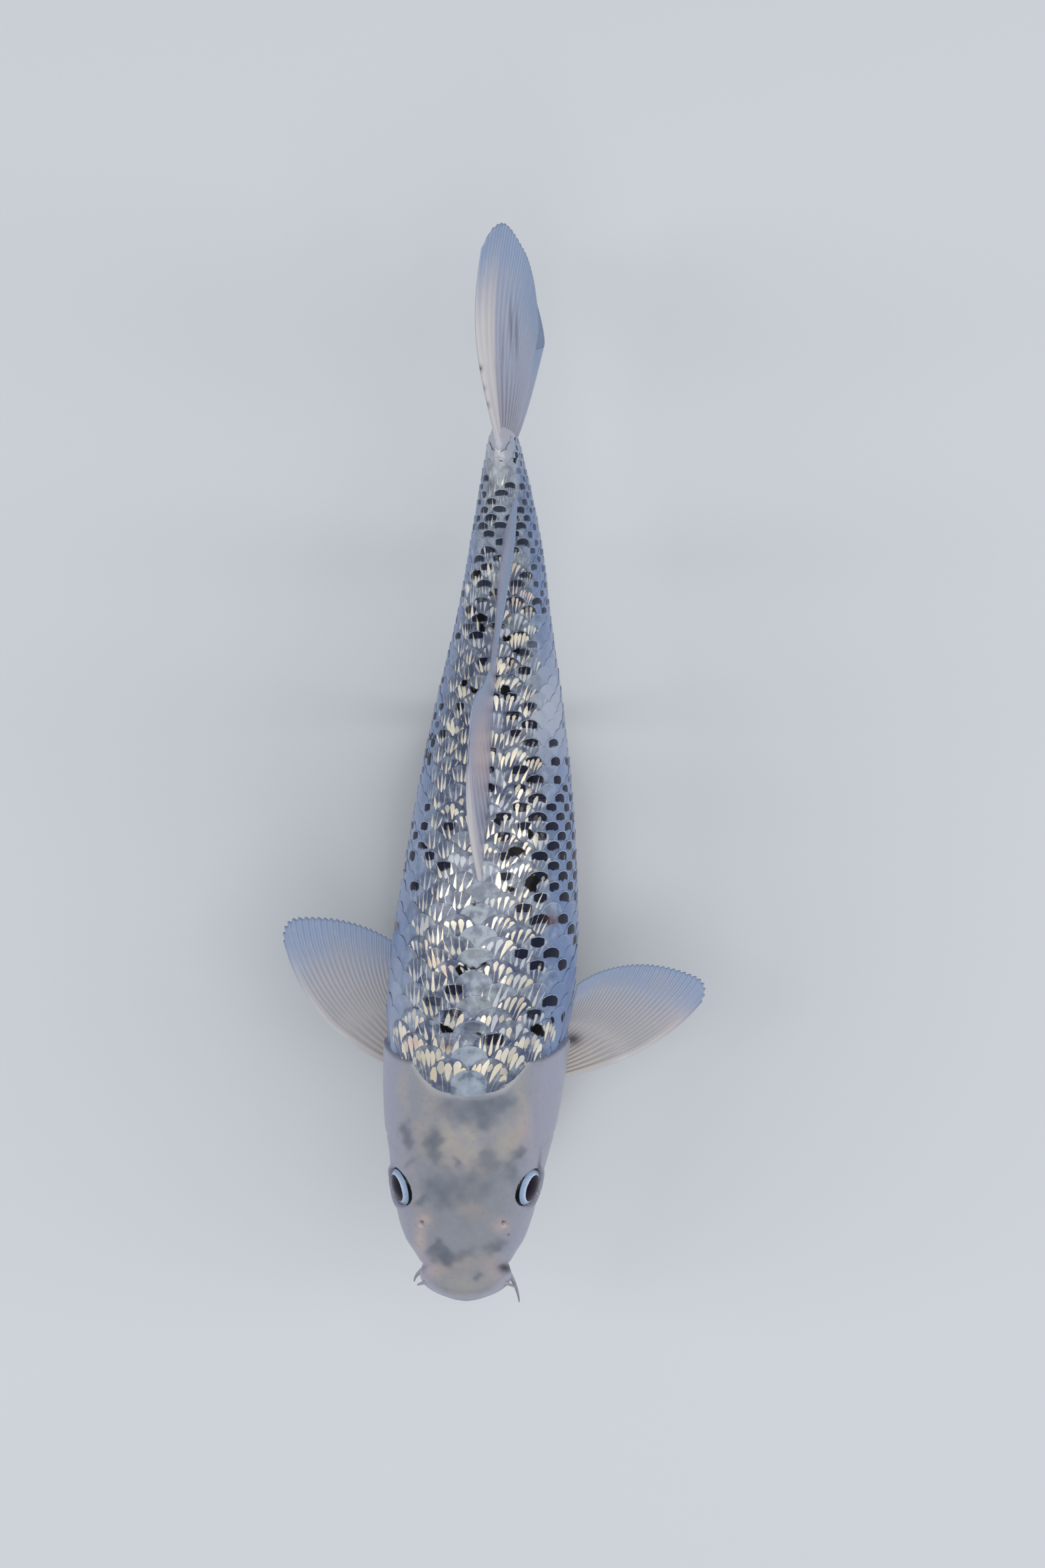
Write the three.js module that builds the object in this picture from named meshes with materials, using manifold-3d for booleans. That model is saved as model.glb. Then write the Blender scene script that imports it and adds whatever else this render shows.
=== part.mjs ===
// A life-size koi carp on a plain display stand, built as a tree of named closed meshes.
//
// Units are millimetres, +Z up. The head points along -Y and the fish's left side along +X.
// The origin is the centre of the stand base's underside. The fish itself is drawn in its own
// frame, where Y is the distance back from the tip of the upper lip and Z is height over the
// body axis, and a group then lifts it onto the stand.
//
// The body is one lofted surface. Its outline comes from a few short lists of stations, each
// joined by a smooth curve, and its sections are superellipses that roll with the spine.
// Thin cuts then part it into head, jaw, gill covers, trunk and tail.
import * as THREE from "three";
import { mergeVertices } from "three/addons/utils/BufferGeometryUtils.js";
import Module from "manifold-3d";

const wasm = await Module();
wasm.setup();

// ---------------------------------------------------------------- driving dimensions
const BODY_LENGTH = 438; // tip of the upper lip to the root of the tail fin
const AXIS_HEIGHT = 150; // body axis over the floor
const BALANCE_AT = 190; // how far back from the lip the stand's centre lies
const GAP = 0.3; // clearance left where one piece meets another

// Each station is [distance back from the lip, value].
const SPINE_X = [
  [0, -12.7], [20, -12.9], [40, -12.9], [60, -11.9], [80, -10.4], [94, -9.6], [124, -7.4],
  [216, 0.1], [298, 4.7], [379, 8.4], [440, 7.4],
];
const HALF_WIDTH = [
  [0, 1.5], [2, 8.5], [4.5, 15], [8, 20.4], [13, 23.4], [19, 23], [25, 26], [32, 30.4], [45, 34.8],
  [64, 38.4], [80, 41.6], [94, 44.4], [124, 47], [180, 47.5], [226, 43.6], [267, 38.6], [308, 32],
  [348, 24.3], [389, 18], [420, 12], [440, 7.5],
];
const TOP = [
  [0, -12.5], [2, -8.5], [6, -4.5], [13, 0], [22, 7], [34, 15.5], [50, 25.5], [70, 35], [95, 44.5],
  [124, 53], [160, 60.5], [195, 64], [230, 63], [300, 51], [350, 40.5], [390, 31.5], [418, 27.5], [440, 28.5],
];
const BOTTOM = [
  [0, -15.5], [2, -19], [6, -22.5], [13, -25.5], [24, -29], [45, -36.5], [70, -44], [95, -50.5],
  [124, -56.5], [160, -61.5], [200, -63.5], [245, -60.5], [295, -51], [345, -38.5], [390, -29],
  [418, -26], [440, -27.5],
];
const WIDEST_AT = [[0, -14], [20, -13], [60, -9], [124, -5], [200, 0], [300, 2], [440, 0]];
const TOP_POWER = [[0, 2.1], [25, 2.35], [60, 2.45], [110, 2.4], [200, 2.15], [440, 2]];
const BOTTOM_POWER = [[0, 2.1], [60, 2.4], [200, 2.45], [330, 2.2], [440, 2]];
const ROLL_DEGREES = [[0, 2.5], [90, 2.5], [160, 2.9], [220, 3.2], [300, 3.6], [380, 4.4], [440, 6.5]]; // the back leans right

const BODY_RINGS = 42;
const BODY_SIDES = 28;

const EYE = { at: 60.2, height: 14, radius: 11.2, depth: 6.6, sunk: 4.2, tilt: 25, ahead: 17 };
const GILL_COVER_DEPTH = 4;
const TRUNK_PARTS = [
  ["trunk_front", 60, 200], ["trunk_middle", 200, 290], ["trunk_rear", 290, 372], ["tail_stalk", 372, 460],
];
const DORSAL_FIN = {
  from: 210, base: 175, root: 5, rise: 24.5, thick: 2.6, edge: 0.7,
  rays: [[0, 72], [0.04, 89], [0.1, 87], [0.18, 76], [0.3, 58], [0.5, 40], [0.8, 33], [1, 28]],
};
const ANAL_FIN = {
  from: 342, base: 33, root: 5, thick: 2.4, edge: 0.7, rays: [[0, 40], [0.12, 54], [0.35, 50], [0.7, 36], [1, 26]],
};
const TAIL_FIN = { halfBase: 27, thick: 3.4, edge: 0.8 };
const UPPER_LOBE = {
  sign: 1, bow: 5.5,
  back: [[0, 49], [0.2, 60], [0.45, 76], [0.7, 95], [0.86, 106], [0.95, 103], [1, 93]],
  height: [[0, 0], [0.2, 11], [0.45, 27], [0.7, 43], [0.86, 54], [0.95, 60], [1, 61]],
  left: [[0, 16], [0.2, 17.2], [0.45, 15.6], [0.6, 13], [0.7, 9.6], [0.86, 1], [0.95, -5.5], [1, -11]],
};
const LOWER_LOBE = {
  sign: -1, bow: 3.5,
  back: [[0, 48], [0.2, 52], [0.45, 71], [0.7, 91], [0.86, 104], [0.95, 101], [1, 91]],
  height: [[0, 0], [0.2, 11], [0.45, 27], [0.7, 43], [0.86, 54], [0.95, 60], [1, 61]],
  left: [[0, 16], [0.2, 20.4], [0.45, 17.5], [0.7, 11], [0.86, 4], [0.95, -1], [1, -4]],
};
const PECTORAL = { length: 110, spread: 49, chord: 17, thick: 2.6, edge: 0.7, sink: 9 };
const PECTORAL_PLACE = {
  left: { side: 1, at: 111, out: 39.2, height: -35.7, sweep: 26, drop: 21, bow: 20, longer: -6, camber: -5, tuck: 2 },
  right: { side: -1, at: 112, out: 32.5, height: -42, sweep: 45.5, drop: 7, bow: 31, longer: 3, camber: -5, tuck: 2 },
};
const PELVIC = { length: 62, spread: 52, chord: 12, thick: 2.4, edge: 0.7, sink: 7 };
const PELVIC_PLACE = {
  at: 216, out: 15, height: -59, sweep: 70, drop: 20, bow: 20, longer: 0, camber: 3, tuck: -4,
};
const REAR_BARBEL = {
  at: 17, out: 23.2, height: -15, root: 1.7, tip: 0.5,
  reach: { left: [3.7, 19, 11], right: [4.3, 9, 16] },
};
const FRONT_BARBEL = {
  at: 10, out: 21.7, height: -10, root: 1.2, tip: 0.45,
  reach: { left: [3.6, 3.5, 6], right: [3.2, 2.5, 6.5] },
};
const STAND = {
  halfLength: 126, halfWidth: 44, thick: 14, bevel: 2.5,
  rodRadius: 4, flangeRadius: 10, flangeThick: 3, rodsAt: { stand_rod_front: 138, stand_rod_rear: 300 },
};

const STEEL = { color: 0xb9bcc0, roughness: 0.32, metalness: 1 };
const BASE_PAINT = { color: 0x2b2c2f, roughness: 0.55, metalness: 0 };
const HEAD_SKIN = { color: 0xb4aea9, roughness: 0.45, metalness: 0 };
const LIP_SKIN = { color: 0xc9bcb6, roughness: 0.45, metalness: 0 };
const SCALED_SKIN = { color: 0x8f9aa6, roughness: 0.35, metalness: 0.1 };
const FIN_SKIN = { color: 0xb9b8be, roughness: 0.45, metalness: 0 };
const EYE_GLOSS = { color: 0x1c1a22, roughness: 0.08, metalness: 0 };

// ---------------------------------------------------------------- small helpers
const radians = THREE.MathUtils.degToRad;
const mix = THREE.MathUtils.lerp;
const ease = THREE.MathUtils.smoothstep;

// A smooth curve through the stations: cubic pieces whose slope at a station is that of the
// line through its two neighbours.
function curve(stations) {
  const last = stations.length - 1;
  const slope = (i) => {
    const [a, b] = [stations[Math.max(i - 1, 0)], stations[Math.min(i + 1, last)]];
    return (b[1] - a[1]) / (b[0] - a[0]);
  };
  return (at) => {
    const t = THREE.MathUtils.clamp(at, stations[0][0], stations[last][0]);
    const i = Math.min(stations.findLastIndex((s) => s[0] <= t), last - 1);
    const step = stations[i + 1][0] - stations[i][0];
    const f = (t - stations[i][0]) / step;
    const [f2, f3] = [f * f, f * f * f];
    return (
      stations[i][1] * (2 * f3 - 3 * f2 + 1) + stations[i + 1][1] * (3 * f2 - 2 * f3) +
      step * (slope(i) * (f3 - 2 * f2 + f) + slope(i + 1) * (f3 - f2))
    );
  };
}

const spineX = curve(SPINE_X);
const halfWidth = curve(HALF_WIDTH);
const top = curve(TOP);
const bottom = curve(BOTTOM);
const widestAt = curve(WIDEST_AT);
const topPower = curve(TOP_POWER);
const bottomPower = curve(BOTTOM_POWER);
const rollDegrees = curve(ROLL_DEGREES);

// Turns a point of the upright section at a distance back from the lip by the spine's roll,
// and moves it onto the spine.
function onSpine(at, x, z) {
  const roll = radians(rollDegrees(at));
  return new THREE.Vector3(
    spineX(at) + x * Math.cos(roll) - z * Math.sin(roll), at,
    x * Math.sin(roll) + z * Math.cos(roll),
  );
}

// A point of the body surface. The turn is 0 on the fish's left, a quarter turn on the back.
// A positive grow moves the surface outwards by that much.
function bodyPoint(at, turn, grow = 0) {
  const [c, s] = [Math.cos(turn), Math.sin(turn)];
  const over = s >= 0;
  const power = 2 / (over ? topPower(at) : bottomPower(at));
  const tall = (over ? top(at) - widestAt(at) : widestAt(at) - bottom(at)) + grow;
  const wide = halfWidth(at) + grow;
  return onSpine(
    at, wide * Math.sign(c) * Math.abs(c) ** power,
    widestAt(at) + tall * Math.sign(s) * Math.abs(s) ** power,
  );
}

// A solid from rings of points: neighbouring rings are joined and both ends are closed by a fan.
function loft(rings) {
  const sides = rings[0].length;
  const points = rings.flat();
  const faces = [];
  const centre = (ring) => ring.reduce((sum, p) => sum.add(p), new THREE.Vector3()).divideScalar(sides);
  const index = (ring, side) => ring * sides + (side % sides);
  for (let r = 0; r + 1 < rings.length; r++) {
    for (let k = 0; k < sides; k++) {
      faces.push([index(r, k), index(r + 1, k), index(r + 1, k + 1)]);
      faces.push([index(r, k), index(r + 1, k + 1), index(r, k + 1)]);
    }
  }
  const [front, back] = [points.length, points.length + 1];
  points.push(centre(rings[0]), centre(rings.at(-1)));
  for (let k = 0; k < sides; k++) {
    faces.push([front, index(0, k), index(0, k + 1)]);
    faces.push([back, index(rings.length - 1, k + 1), index(rings.length - 1, k)]);
  }
  return solidOf(points, faces);
}

// A manifold solid from points and triangles, turned the right way out.
function solidOf(points, faces) {
  const vertProperties = new Float32Array(points.flatMap((p) => [p.x, p.y, p.z]));
  const made = (list) =>
    new wasm.Manifold(new wasm.Mesh({ numProp: 3, vertProperties, triVerts: new Uint32Array(list.flat()) }));
  const solid = made(faces);
  return solid.volume() > 0 ? solid : made(faces.map(([a, b, c]) => [a, c, b]));
}

// A manifold solid from one of three's own closed geometries.
function solidFrom(geometry) {
  const plain = geometry.index ? geometry.toNonIndexed() : geometry.clone();
  plain.deleteAttribute("normal");
  plain.deleteAttribute("uv");
  const merged = mergeVertices(plain, 1e-3);
  const place = merged.attributes.position;
  const points = Array.from({ length: place.count }, (_, i) => new THREE.Vector3().fromBufferAttribute(place, i));
  const corners = Array.from(merged.index.array);
  const faces = [];
  for (let i = 0; i < corners.length; i += 3) faces.push(corners.slice(i, i + 3));
  return solidOf(points, faces);
}

function meshOf(name, solid, finish) {
  const found = solid.getMesh();
  const geometry = new THREE.BufferGeometry();
  geometry.setAttribute("position", new THREE.BufferAttribute(new Float32Array(found.vertProperties), 3));
  geometry.setIndex(new THREE.BufferAttribute(new Uint32Array(found.triVerts), 1));
  geometry.computeVertexNormals();
  const mesh = new THREE.Mesh(geometry, new THREE.MeshStandardMaterial(finish));
  mesh.name = name;
  return mesh;
}

// ---------------------------------------------------------------- body and its cutters
// Rings lie closer together towards the snout, where the form changes fastest.
function bodySolid(grow) {
  const rings = [];
  for (let i = 0; i <= BODY_RINGS; i++) {
    const share = i / BODY_RINGS;
    const at = mix(0, BODY_LENGTH, share * (0.42 + 0.58 * share));
    const ring = [];
    for (let k = 0; k < BODY_SIDES; k++) {
      const p = bodyPoint(at, (2 * Math.PI * k) / BODY_SIDES, grow);
      if (i === 0) p.y -= grow;
      if (i === BODY_RINGS) p.y += grow;
      ring.push(p);
    }
    rings.push(ring);
  }
  return loft(rings);
}

// Moves every edge of a closed outline outwards by the same distance.
function grownOutline(points, grow) {
  const turn = Math.sign(THREE.ShapeUtils.area(points));
  const outward = (a, b) => new THREE.Vector2(b.y - a.y, a.x - b.x).normalize().multiplyScalar(turn);
  return points.map((p, i) => {
    const before = outward(points.at(i - 1), p);
    const after = outward(p, points[(i + 1) % points.length]);
    return before.clone().add(after).multiplyScalar(grow / (1 + before.dot(after))).add(p);
  });
}

// A slab with a side outline in (distance back, height), from one width to another.
function sideSlab(outline, grow = 0, from = -200, to = 200) {
  const shape = new THREE.Shape(grownOutline(outline, grow));
  const geometry = new THREE.ExtrudeGeometry(shape, { depth: to - from, bevelEnabled: false });
  // The shape's x and y become Y and Z, and the extrusion runs along X.
  const turn = new THREE.Matrix4().makeBasis(
    new THREE.Vector3(0, 1, 0), new THREE.Vector3(0, 0, 1), new THREE.Vector3(1, 0, 0),
  );
  return solidFrom(geometry.applyMatrix4(turn).translate(from, 0, 0));
}

// Points of an arc through three points of the side view, end points included.
function bow(start, through, end, steps) {
  const line = new THREE.QuadraticBezierCurve(
    new THREE.Vector2(...start),
    new THREE.Vector2(2 * through[0] - (start[0] + end[0]) / 2, 2 * through[1] - (start[1] + end[1]) / 2),
    new THREE.Vector2(...end),
  );
  return line.getPoints(steps);
}

const vec2 = (list) => list.map((p) => new THREE.Vector2(...p));

// The head ends at the nape above and sweeps back to the gill opening at the sides.
const NAPE_TO_THROAT = bow([78, 70], [134, -8], [80, -75], 7);
const headOutline = [...NAPE_TO_THROAT, ...vec2([[-30, -75], [-30, 70]])];
const gillOutline = [...bow([108, 35], [129.5, -8], [96, -50], 6), ...bow([88, -44], [84, 0], [94, 31], 3)];
const jawOutline = vec2([[-30, -16.2], [10, -17.8], [21, -20.5], [27, -26], [31, -45], [-30, -45]]);
const lipOutline = vec2([[-30, 40], [9.5, 40], [9.5, -60], [-30, -60]]);

// A flattened eyeball, with its centre sunk below the surface of the head.
function eyeBall(side, grow) {
  const share = (EYE.height - widestAt(EYE.at)) / (top(EYE.at) - widestAt(EYE.at));
  const power = topPower(EYE.at);
  const wide = halfWidth(EYE.at) * (1 - share ** power) ** (1 / power);
  const look = eyeLook(side);
  const centre = onSpine(EYE.at, side * wide, EYE.height).addScaledVector(look, -EYE.sunk);
  const ball = new THREE.SphereGeometry(1, 16, 9).scale(EYE.radius + grow, EYE.radius + grow, EYE.depth + grow);
  const turn = new THREE.Quaternion().setFromUnitVectors(new THREE.Vector3(0, 0, 1), look);
  return solidFrom(ball.applyQuaternion(turn).translate(...centre));
}

// The way an eye faces: outwards, tipped up and turned a little ahead.
function eyeLook(side) {
  const [tip, ahead] = [radians(EYE.tilt), radians(EYE.ahead)];
  const roll = radians(rollDegrees(EYE.at));
  const upright = new THREE.Vector3(
    side * Math.cos(tip) * Math.cos(ahead), -Math.cos(tip) * Math.sin(ahead), Math.sin(tip),
  );
  return upright.applyAxisAngle(new THREE.Vector3(0, 1, 0), -roll);
}

// Parts the whole body into its named pieces of flesh.
function bodyPieces() {
  const whole = bodySolid(0);
  const headSide = sideSlab(headOutline);
  const headSideGrown = sideSlab(headOutline, GAP);
  const core = bodySolid(-GILL_COVER_DEPTH);
  const deeperCore = bodySolid(-GILL_COVER_DEPTH - GAP);
  const pieces = {};

  let head = whole.intersect(headSide);
  for (const [name, side] of [["left", 1], ["right", -1]]) {
    const reach = side > 0 ? [4, 200] : [-200, -4];
    const wider = side > 0 ? [4 - GAP, 200] : [-200, GAP - 4];
    const cover = head.intersect(sideSlab(gillOutline, 0, ...reach)).subtract(core);
    const pocket = sideSlab(gillOutline, GAP, ...wider).subtract(deeperCore);
    head = head.subtract(pocket).subtract(eyeBall(side, GAP));
    pieces[`gill_cover_${name}`] = [cover, HEAD_SKIN];
    pieces[`eye_${name}`] = [eyeBall(side, 0), EYE_GLOSS];
  }
  pieces.lower_jaw = [head.intersect(sideSlab(jawOutline)), LIP_SKIN];
  head = head.subtract(sideSlab(jawOutline, GAP));
  pieces.upper_lip = [head.intersect(sideSlab(lipOutline)), LIP_SKIN];
  pieces.head = [head.subtract(sideSlab(lipOutline, GAP)), HEAD_SKIN];

  const rest = whole.subtract(headSideGrown);
  for (const [name, from, to] of TRUNK_PARTS) {
    const slab = vec2([[from, -90], [to, -90], [to, 90], [from, 90]]);
    pieces[name] = [rest.intersect(sideSlab(slab, -GAP / 2)), SCALED_SKIN];
  }
  return pieces;
}

// ---------------------------------------------------------------- fins
// A fin is a sheet of rays. place(a, v) gives a point of its middle surface, with a running
// across the rays and v from root to edge, and thick(a, v) its thickness there. Both faces
// are laid half of that to either side and stitched round the rim.
function finSolid(place, thick, across, along) {
  const nudge = 1e-3;
  const points = [];
  const faces = [];
  const inRange = (x) => THREE.MathUtils.clamp(x, 0, 1);
  for (const side of [1, -1]) {
    for (let i = 0; i <= across; i++) {
      for (let j = 0; j <= along; j++) {
        const [a, v] = [i / across, j / along];
        const da = place(inRange(a + nudge), v).sub(place(inRange(a - nudge), v));
        const dv = place(a, inRange(v + nudge)).sub(place(a, inRange(v - nudge)));
        const normal = da.cross(dv).normalize();
        points.push(place(a, v).addScaledVector(normal, (side * thick(a, v)) / 2));
      }
    }
  }
  const row = along + 1;
  const sheet = (across + 1) * row;
  const at = (side, i, j) => side * sheet + i * row + j;
  const quad = (a, b, c, d) => faces.push([a, b, c], [a, c, d]);
  for (let i = 0; i < across; i++) {
    for (let j = 0; j < along; j++) {
      quad(at(0, i, j), at(0, i + 1, j), at(0, i + 1, j + 1), at(0, i, j + 1));
      quad(at(1, i, j), at(1, i, j + 1), at(1, i + 1, j + 1), at(1, i + 1, j));
    }
    quad(at(0, i, 0), at(1, i, 0), at(1, i + 1, 0), at(0, i + 1, 0));
    quad(at(0, i, along), at(0, i + 1, along), at(1, i + 1, along), at(1, i, along));
  }
  for (let j = 0; j < along; j++) {
    quad(at(0, 0, j), at(0, 0, j + 1), at(1, 0, j + 1), at(1, 0, j));
    quad(at(0, across, j), at(1, across, j), at(1, across, j + 1), at(0, across, j + 1));
  }
  return solidOf(points, faces);
}

const taper = (fin) => (a, v) => mix(fin.thick, fin.edge, v ** 0.8) * (a < 0.04 || a > 0.97 ? 0.8 : 1);

// The back fin stands on the ridge of the back, half folded. Its first rays are the longest
// and fall to the fish's right. The low rear end leans to the left above a slight pleat.
function dorsalFin() {
  const rayLength = curve(DORSAL_FIN.rays);
  return finSolid((a, v) => {
    const foot = DORSAL_FIN.from + DORSAL_FIN.base * a;
    const rise = radians(DORSAL_FIN.rise);
    const reach = rayLength(a) * v;
    const bulge = mix(-9, 0, Math.min(1, a / 0.45)) * Math.sin(1.9 * v);
    const pleat = -2.4 * ease(a, 0.3, 0.5) * (1 - ease(a, 0.85, 1)) * Math.sin(Math.PI * v);
    const lean = 9 * ease(a, 0.3, 1) * v + pleat;
    const back = foot + reach * Math.cos(rise);
    const height = top(foot) - DORSAL_FIN.root + (reach + DORSAL_FIN.root * v) * Math.sin(rise + 0.16 * (1 - v));
    return onSpine(foot, bulge + lean, height).setY(back).add(
      new THREE.Vector3(spineX(Math.min(back, 440)) - spineX(foot), 0, 0),
    );
  }, taper(DORSAL_FIN), 16, 5);
}

// The fin under the tail stalk, swept back.
function analFin() {
  const rayLength = curve(ANAL_FIN.rays);
  return finSolid((a, v) => {
    const foot = ANAL_FIN.from + ANAL_FIN.base * a;
    const fall = radians(mix(52, 40, a));
    const reach = rayLength(a) * v;
    const height = bottom(foot) + ANAL_FIN.root - (reach + ANAL_FIN.root * v) * Math.sin(fall);
    return onSpine(foot, 2.5 * Math.sin(2 * v), height).setY(foot + reach * Math.cos(fall));
  }, taper(ANAL_FIN), 6, 5);
}

// A lobe of the tail fin. Its rays fan from the end of the tail stalk, and share runs from 0
// at the fork to 1 on the lobe's outer edge. A ray is named by where its end lies: how far
// back, how high, and how far to the fish's left. The outer rays bow to the right.
function tailLobe(lobe) {
  const back = curve(lobe.back);
  const height = curve(lobe.height);
  const left = curve(lobe.left);
  return finSolid((a, v) => {
    const share = mix(0.012, 1, a);
    const open = Math.max(0, v - 0.08) / 0.92;
    const root = TAIL_FIN.halfBase * share;
    const rootLeft = -lobe.sign * root * Math.sin(radians(rollDegrees(440)));
    const bowed = lobe.bow * share * share * Math.sin(Math.PI * open ** 1.15);
    return new THREE.Vector3(
      spineX(440) + mix(rootLeft, left(share), open ** 0.68) - bowed,
      BODY_LENGTH + mix(-9, back(share), v),
      lobe.sign * mix(root, height(share), open ** 0.85),
    );
  }, taper(TAIL_FIN), 9, 6);
}

// A paired fin is a fan of bent rays on a short root. Its leading ray is nearly the longest,
// and the rays behind it fan inwards and shorten.
function pairedFin(size, place, across, along) {
  const lead = radians(place.sweep);
  const fan = radians(size.spread);
  return finSolid((a, v) => {
    const rounding = 0.12 * Math.max(0, 1 - a / 0.16) ** 2;
    const length = (size.length + place.longer) * (1 - rounding - 0.5 * a);
    const turn = lead + fan * a;
    const start = new THREE.Vector2(-size.sink, size.chord * a);
    const end = new THREE.Vector2(Math.cos(turn), Math.sin(turn)).multiplyScalar(length);
    const first = turn - radians(mix(place.bow, 4, a));
    const bend = new THREE.Vector2(Math.cos(first), Math.sin(first)).multiplyScalar(0.55 * length);
    const flat = new THREE.QuadraticBezierCurve(start, bend, end).getPoint(v);
    const fallAngle = radians(place.drop);
    const away = flat.x * Math.cos(fallAngle);
    const down = flat.x * Math.sin(fallAngle) + place.camber * Math.sin(Math.PI * v) * (1 - a) - place.tuck * a;
    return onSpine(place.at, place.side * (place.out + away), place.height - down).setY(place.at + flat.y);
  }, taper(size), across, along);
}

// ---------------------------------------------------------------- barbels and stand
// A feeler that tapers along a curve, with six-sided sections. Its reach is how far the tip
// lies outwards, ahead and down from the root.
function barbel(size, side, reach) {
  const [outwards, ahead, down] = reach;
  const place = (share, sag) => {
    const p = onSpine(size.at, side * (size.out + outwards * share), size.height - down * share - sag);
    return p.setY(size.at - ahead * share);
  };
  const root = onSpine(size.at, side * (size.out - 3), size.height + 1);
  const middle = place(0.5, -1.5);
  const end = place(1, 0);
  const line = new THREE.CatmullRomCurve3([root, middle, end]);
  const steps = 7;
  const frames = line.computeFrenetFrames(steps, false);
  const rings = [];
  for (let i = 0; i <= steps; i++) {
    const radius = mix(size.root, size.tip, i / steps);
    const ring = [];
    for (let k = 0; k < 6; k++) {
      const turn = (2 * Math.PI * k) / 6;
      ring.push(
        line.getPointAt(i / steps)
          .addScaledVector(frames.normals[i], radius * Math.cos(turn))
          .addScaledVector(frames.binormals[i], radius * Math.sin(turn)),
      );
    }
    rings.push(ring);
  }
  return loft(rings);
}

function standBase() {
  const outline = new THREE.Shape();
  outline.absellipse(0, 0, STAND.halfWidth - STAND.bevel, STAND.halfLength - STAND.bevel, 0, 2 * Math.PI);
  const geometry = new THREE.ExtrudeGeometry(outline, {
    depth: STAND.thick - 2 * STAND.bevel, bevelThickness: STAND.bevel, bevelSize: STAND.bevel,
    bevelSegments: 2, curveSegments: 16,
  });
  return solidFrom(geometry.translate(0, 0, STAND.bevel));
}

// A rod with a foot flange. It ends in the belly, so the body is cut away from it.
function standRod(at, bodyGrown) {
  const foot = STAND.thick + GAP - AXIS_HEIGHT;
  const profile = vec2([
    [0, foot], [STAND.flangeRadius, foot], [STAND.flangeRadius, foot + STAND.flangeThick - 1],
    [STAND.flangeRadius - 1, foot + STAND.flangeThick], [STAND.rodRadius, foot + STAND.flangeThick],
    [STAND.rodRadius, bottom(at) + 8], [0, bottom(at) + 8],
  ]);
  const upright = new THREE.LatheGeometry(profile, 20).rotateX(Math.PI / 2).translate(0, at, 0);
  return solidFrom(upright).subtract(bodyGrown);
}

// ---------------------------------------------------------------- assembly
function build() {
  const root = new THREE.Group();
  const fish = new THREE.Group();
  fish.position.set(0, -BALANCE_AT, AXIS_HEIGHT);
  root.add(fish);
  const bodyGrown = bodySolid(GAP);
  const trimmed = (solid) => solid.subtract(bodyGrown);

  for (const [name, [solid, finish]] of Object.entries(bodyPieces())) fish.add(meshOf(name, solid, finish));
  fish.add(meshOf("dorsal_fin", trimmed(dorsalFin()), FIN_SKIN));
  fish.add(meshOf("anal_fin", trimmed(analFin()), FIN_SKIN));
  fish.add(meshOf("tail_fin_upper", trimmed(tailLobe(UPPER_LOBE)), FIN_SKIN));
  fish.add(meshOf("tail_fin_lower", trimmed(tailLobe(LOWER_LOBE)), FIN_SKIN));
  for (const [name, place] of Object.entries(PECTORAL_PLACE)) {
    const pectoral = pairedFin(PECTORAL, place, 11, 6);
    const pelvic = pairedFin(PELVIC, { ...PELVIC_PLACE, side: place.side }, 7, 5);
    fish.add(meshOf(`pectoral_fin_${name}`, trimmed(pectoral), FIN_SKIN));
    fish.add(meshOf(`pelvic_fin_${name}`, trimmed(pelvic), FIN_SKIN));
    for (const [end, size] of [["rear", REAR_BARBEL], ["front", FRONT_BARBEL]]) {
      const feeler = barbel(size, place.side, size.reach[name]);
      fish.add(meshOf(`barbel_${end}_${name}`, trimmed(feeler), LIP_SKIN));
    }
  }

  for (const [name, at] of Object.entries(STAND.rodsAt)) fish.add(meshOf(name, standRod(at, bodyGrown), STEEL));
  root.add(meshOf("stand_base", standBase(), BASE_PAINT));
  return root;
}

export default build();
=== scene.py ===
"""Looks of a life-size koi carp held by a plain display stand.

Shapes are worked out in millimetres in the fish's own frame: x to the fish's left, at back
from the tip of the upper lip, z up from the body axis. to_frame() turns them into metres of
the part's frame. The body is a superellipse carried along the spine; one skin covers it, and
scales, fins, eyes and feelers are laid on it.
"""

import math

import bmesh
import bpy
import numpy as np
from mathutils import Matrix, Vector


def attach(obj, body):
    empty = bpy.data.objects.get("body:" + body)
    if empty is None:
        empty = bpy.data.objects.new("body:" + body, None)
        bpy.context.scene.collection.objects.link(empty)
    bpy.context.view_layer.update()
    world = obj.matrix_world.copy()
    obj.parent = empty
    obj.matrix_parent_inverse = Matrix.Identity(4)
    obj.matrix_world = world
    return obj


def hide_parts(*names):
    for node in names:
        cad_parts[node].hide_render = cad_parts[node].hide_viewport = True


bl_info = {
    "name": "Koi carp on a display stand",
    "version": (1, 0, 0),
    "blender": (4, 5, 0),
    "location": "3D View > Sidebar > Koi",
    "description": "Builds the skin, scales, fins, eyes and stand of a life-size koi carp",
    "category": "Object",
}

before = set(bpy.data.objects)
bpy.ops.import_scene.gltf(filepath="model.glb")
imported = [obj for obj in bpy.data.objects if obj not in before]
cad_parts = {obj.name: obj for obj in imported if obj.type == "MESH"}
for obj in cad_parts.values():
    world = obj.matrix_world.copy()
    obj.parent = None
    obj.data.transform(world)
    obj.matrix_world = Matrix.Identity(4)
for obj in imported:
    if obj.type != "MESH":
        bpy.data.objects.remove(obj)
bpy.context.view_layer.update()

# ---------------------------------------------------------------- driving dimensions, mm
MM = 0.001  # metres in a millimetre
SIDES = {"left": 1, "right": -1}
BODY_LENGTH = 438
TAIL_WEDGE = 14  # how far the flesh runs on over the root of the tail fin
WEDGE_EDGE = 1.3  # half width of the flesh where it ends there
SPINE_END = 440  # where the curves of the body end
AXIS_HEIGHT = 150
BALANCE_AT = 190  # distance back of the part's own origin

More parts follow.
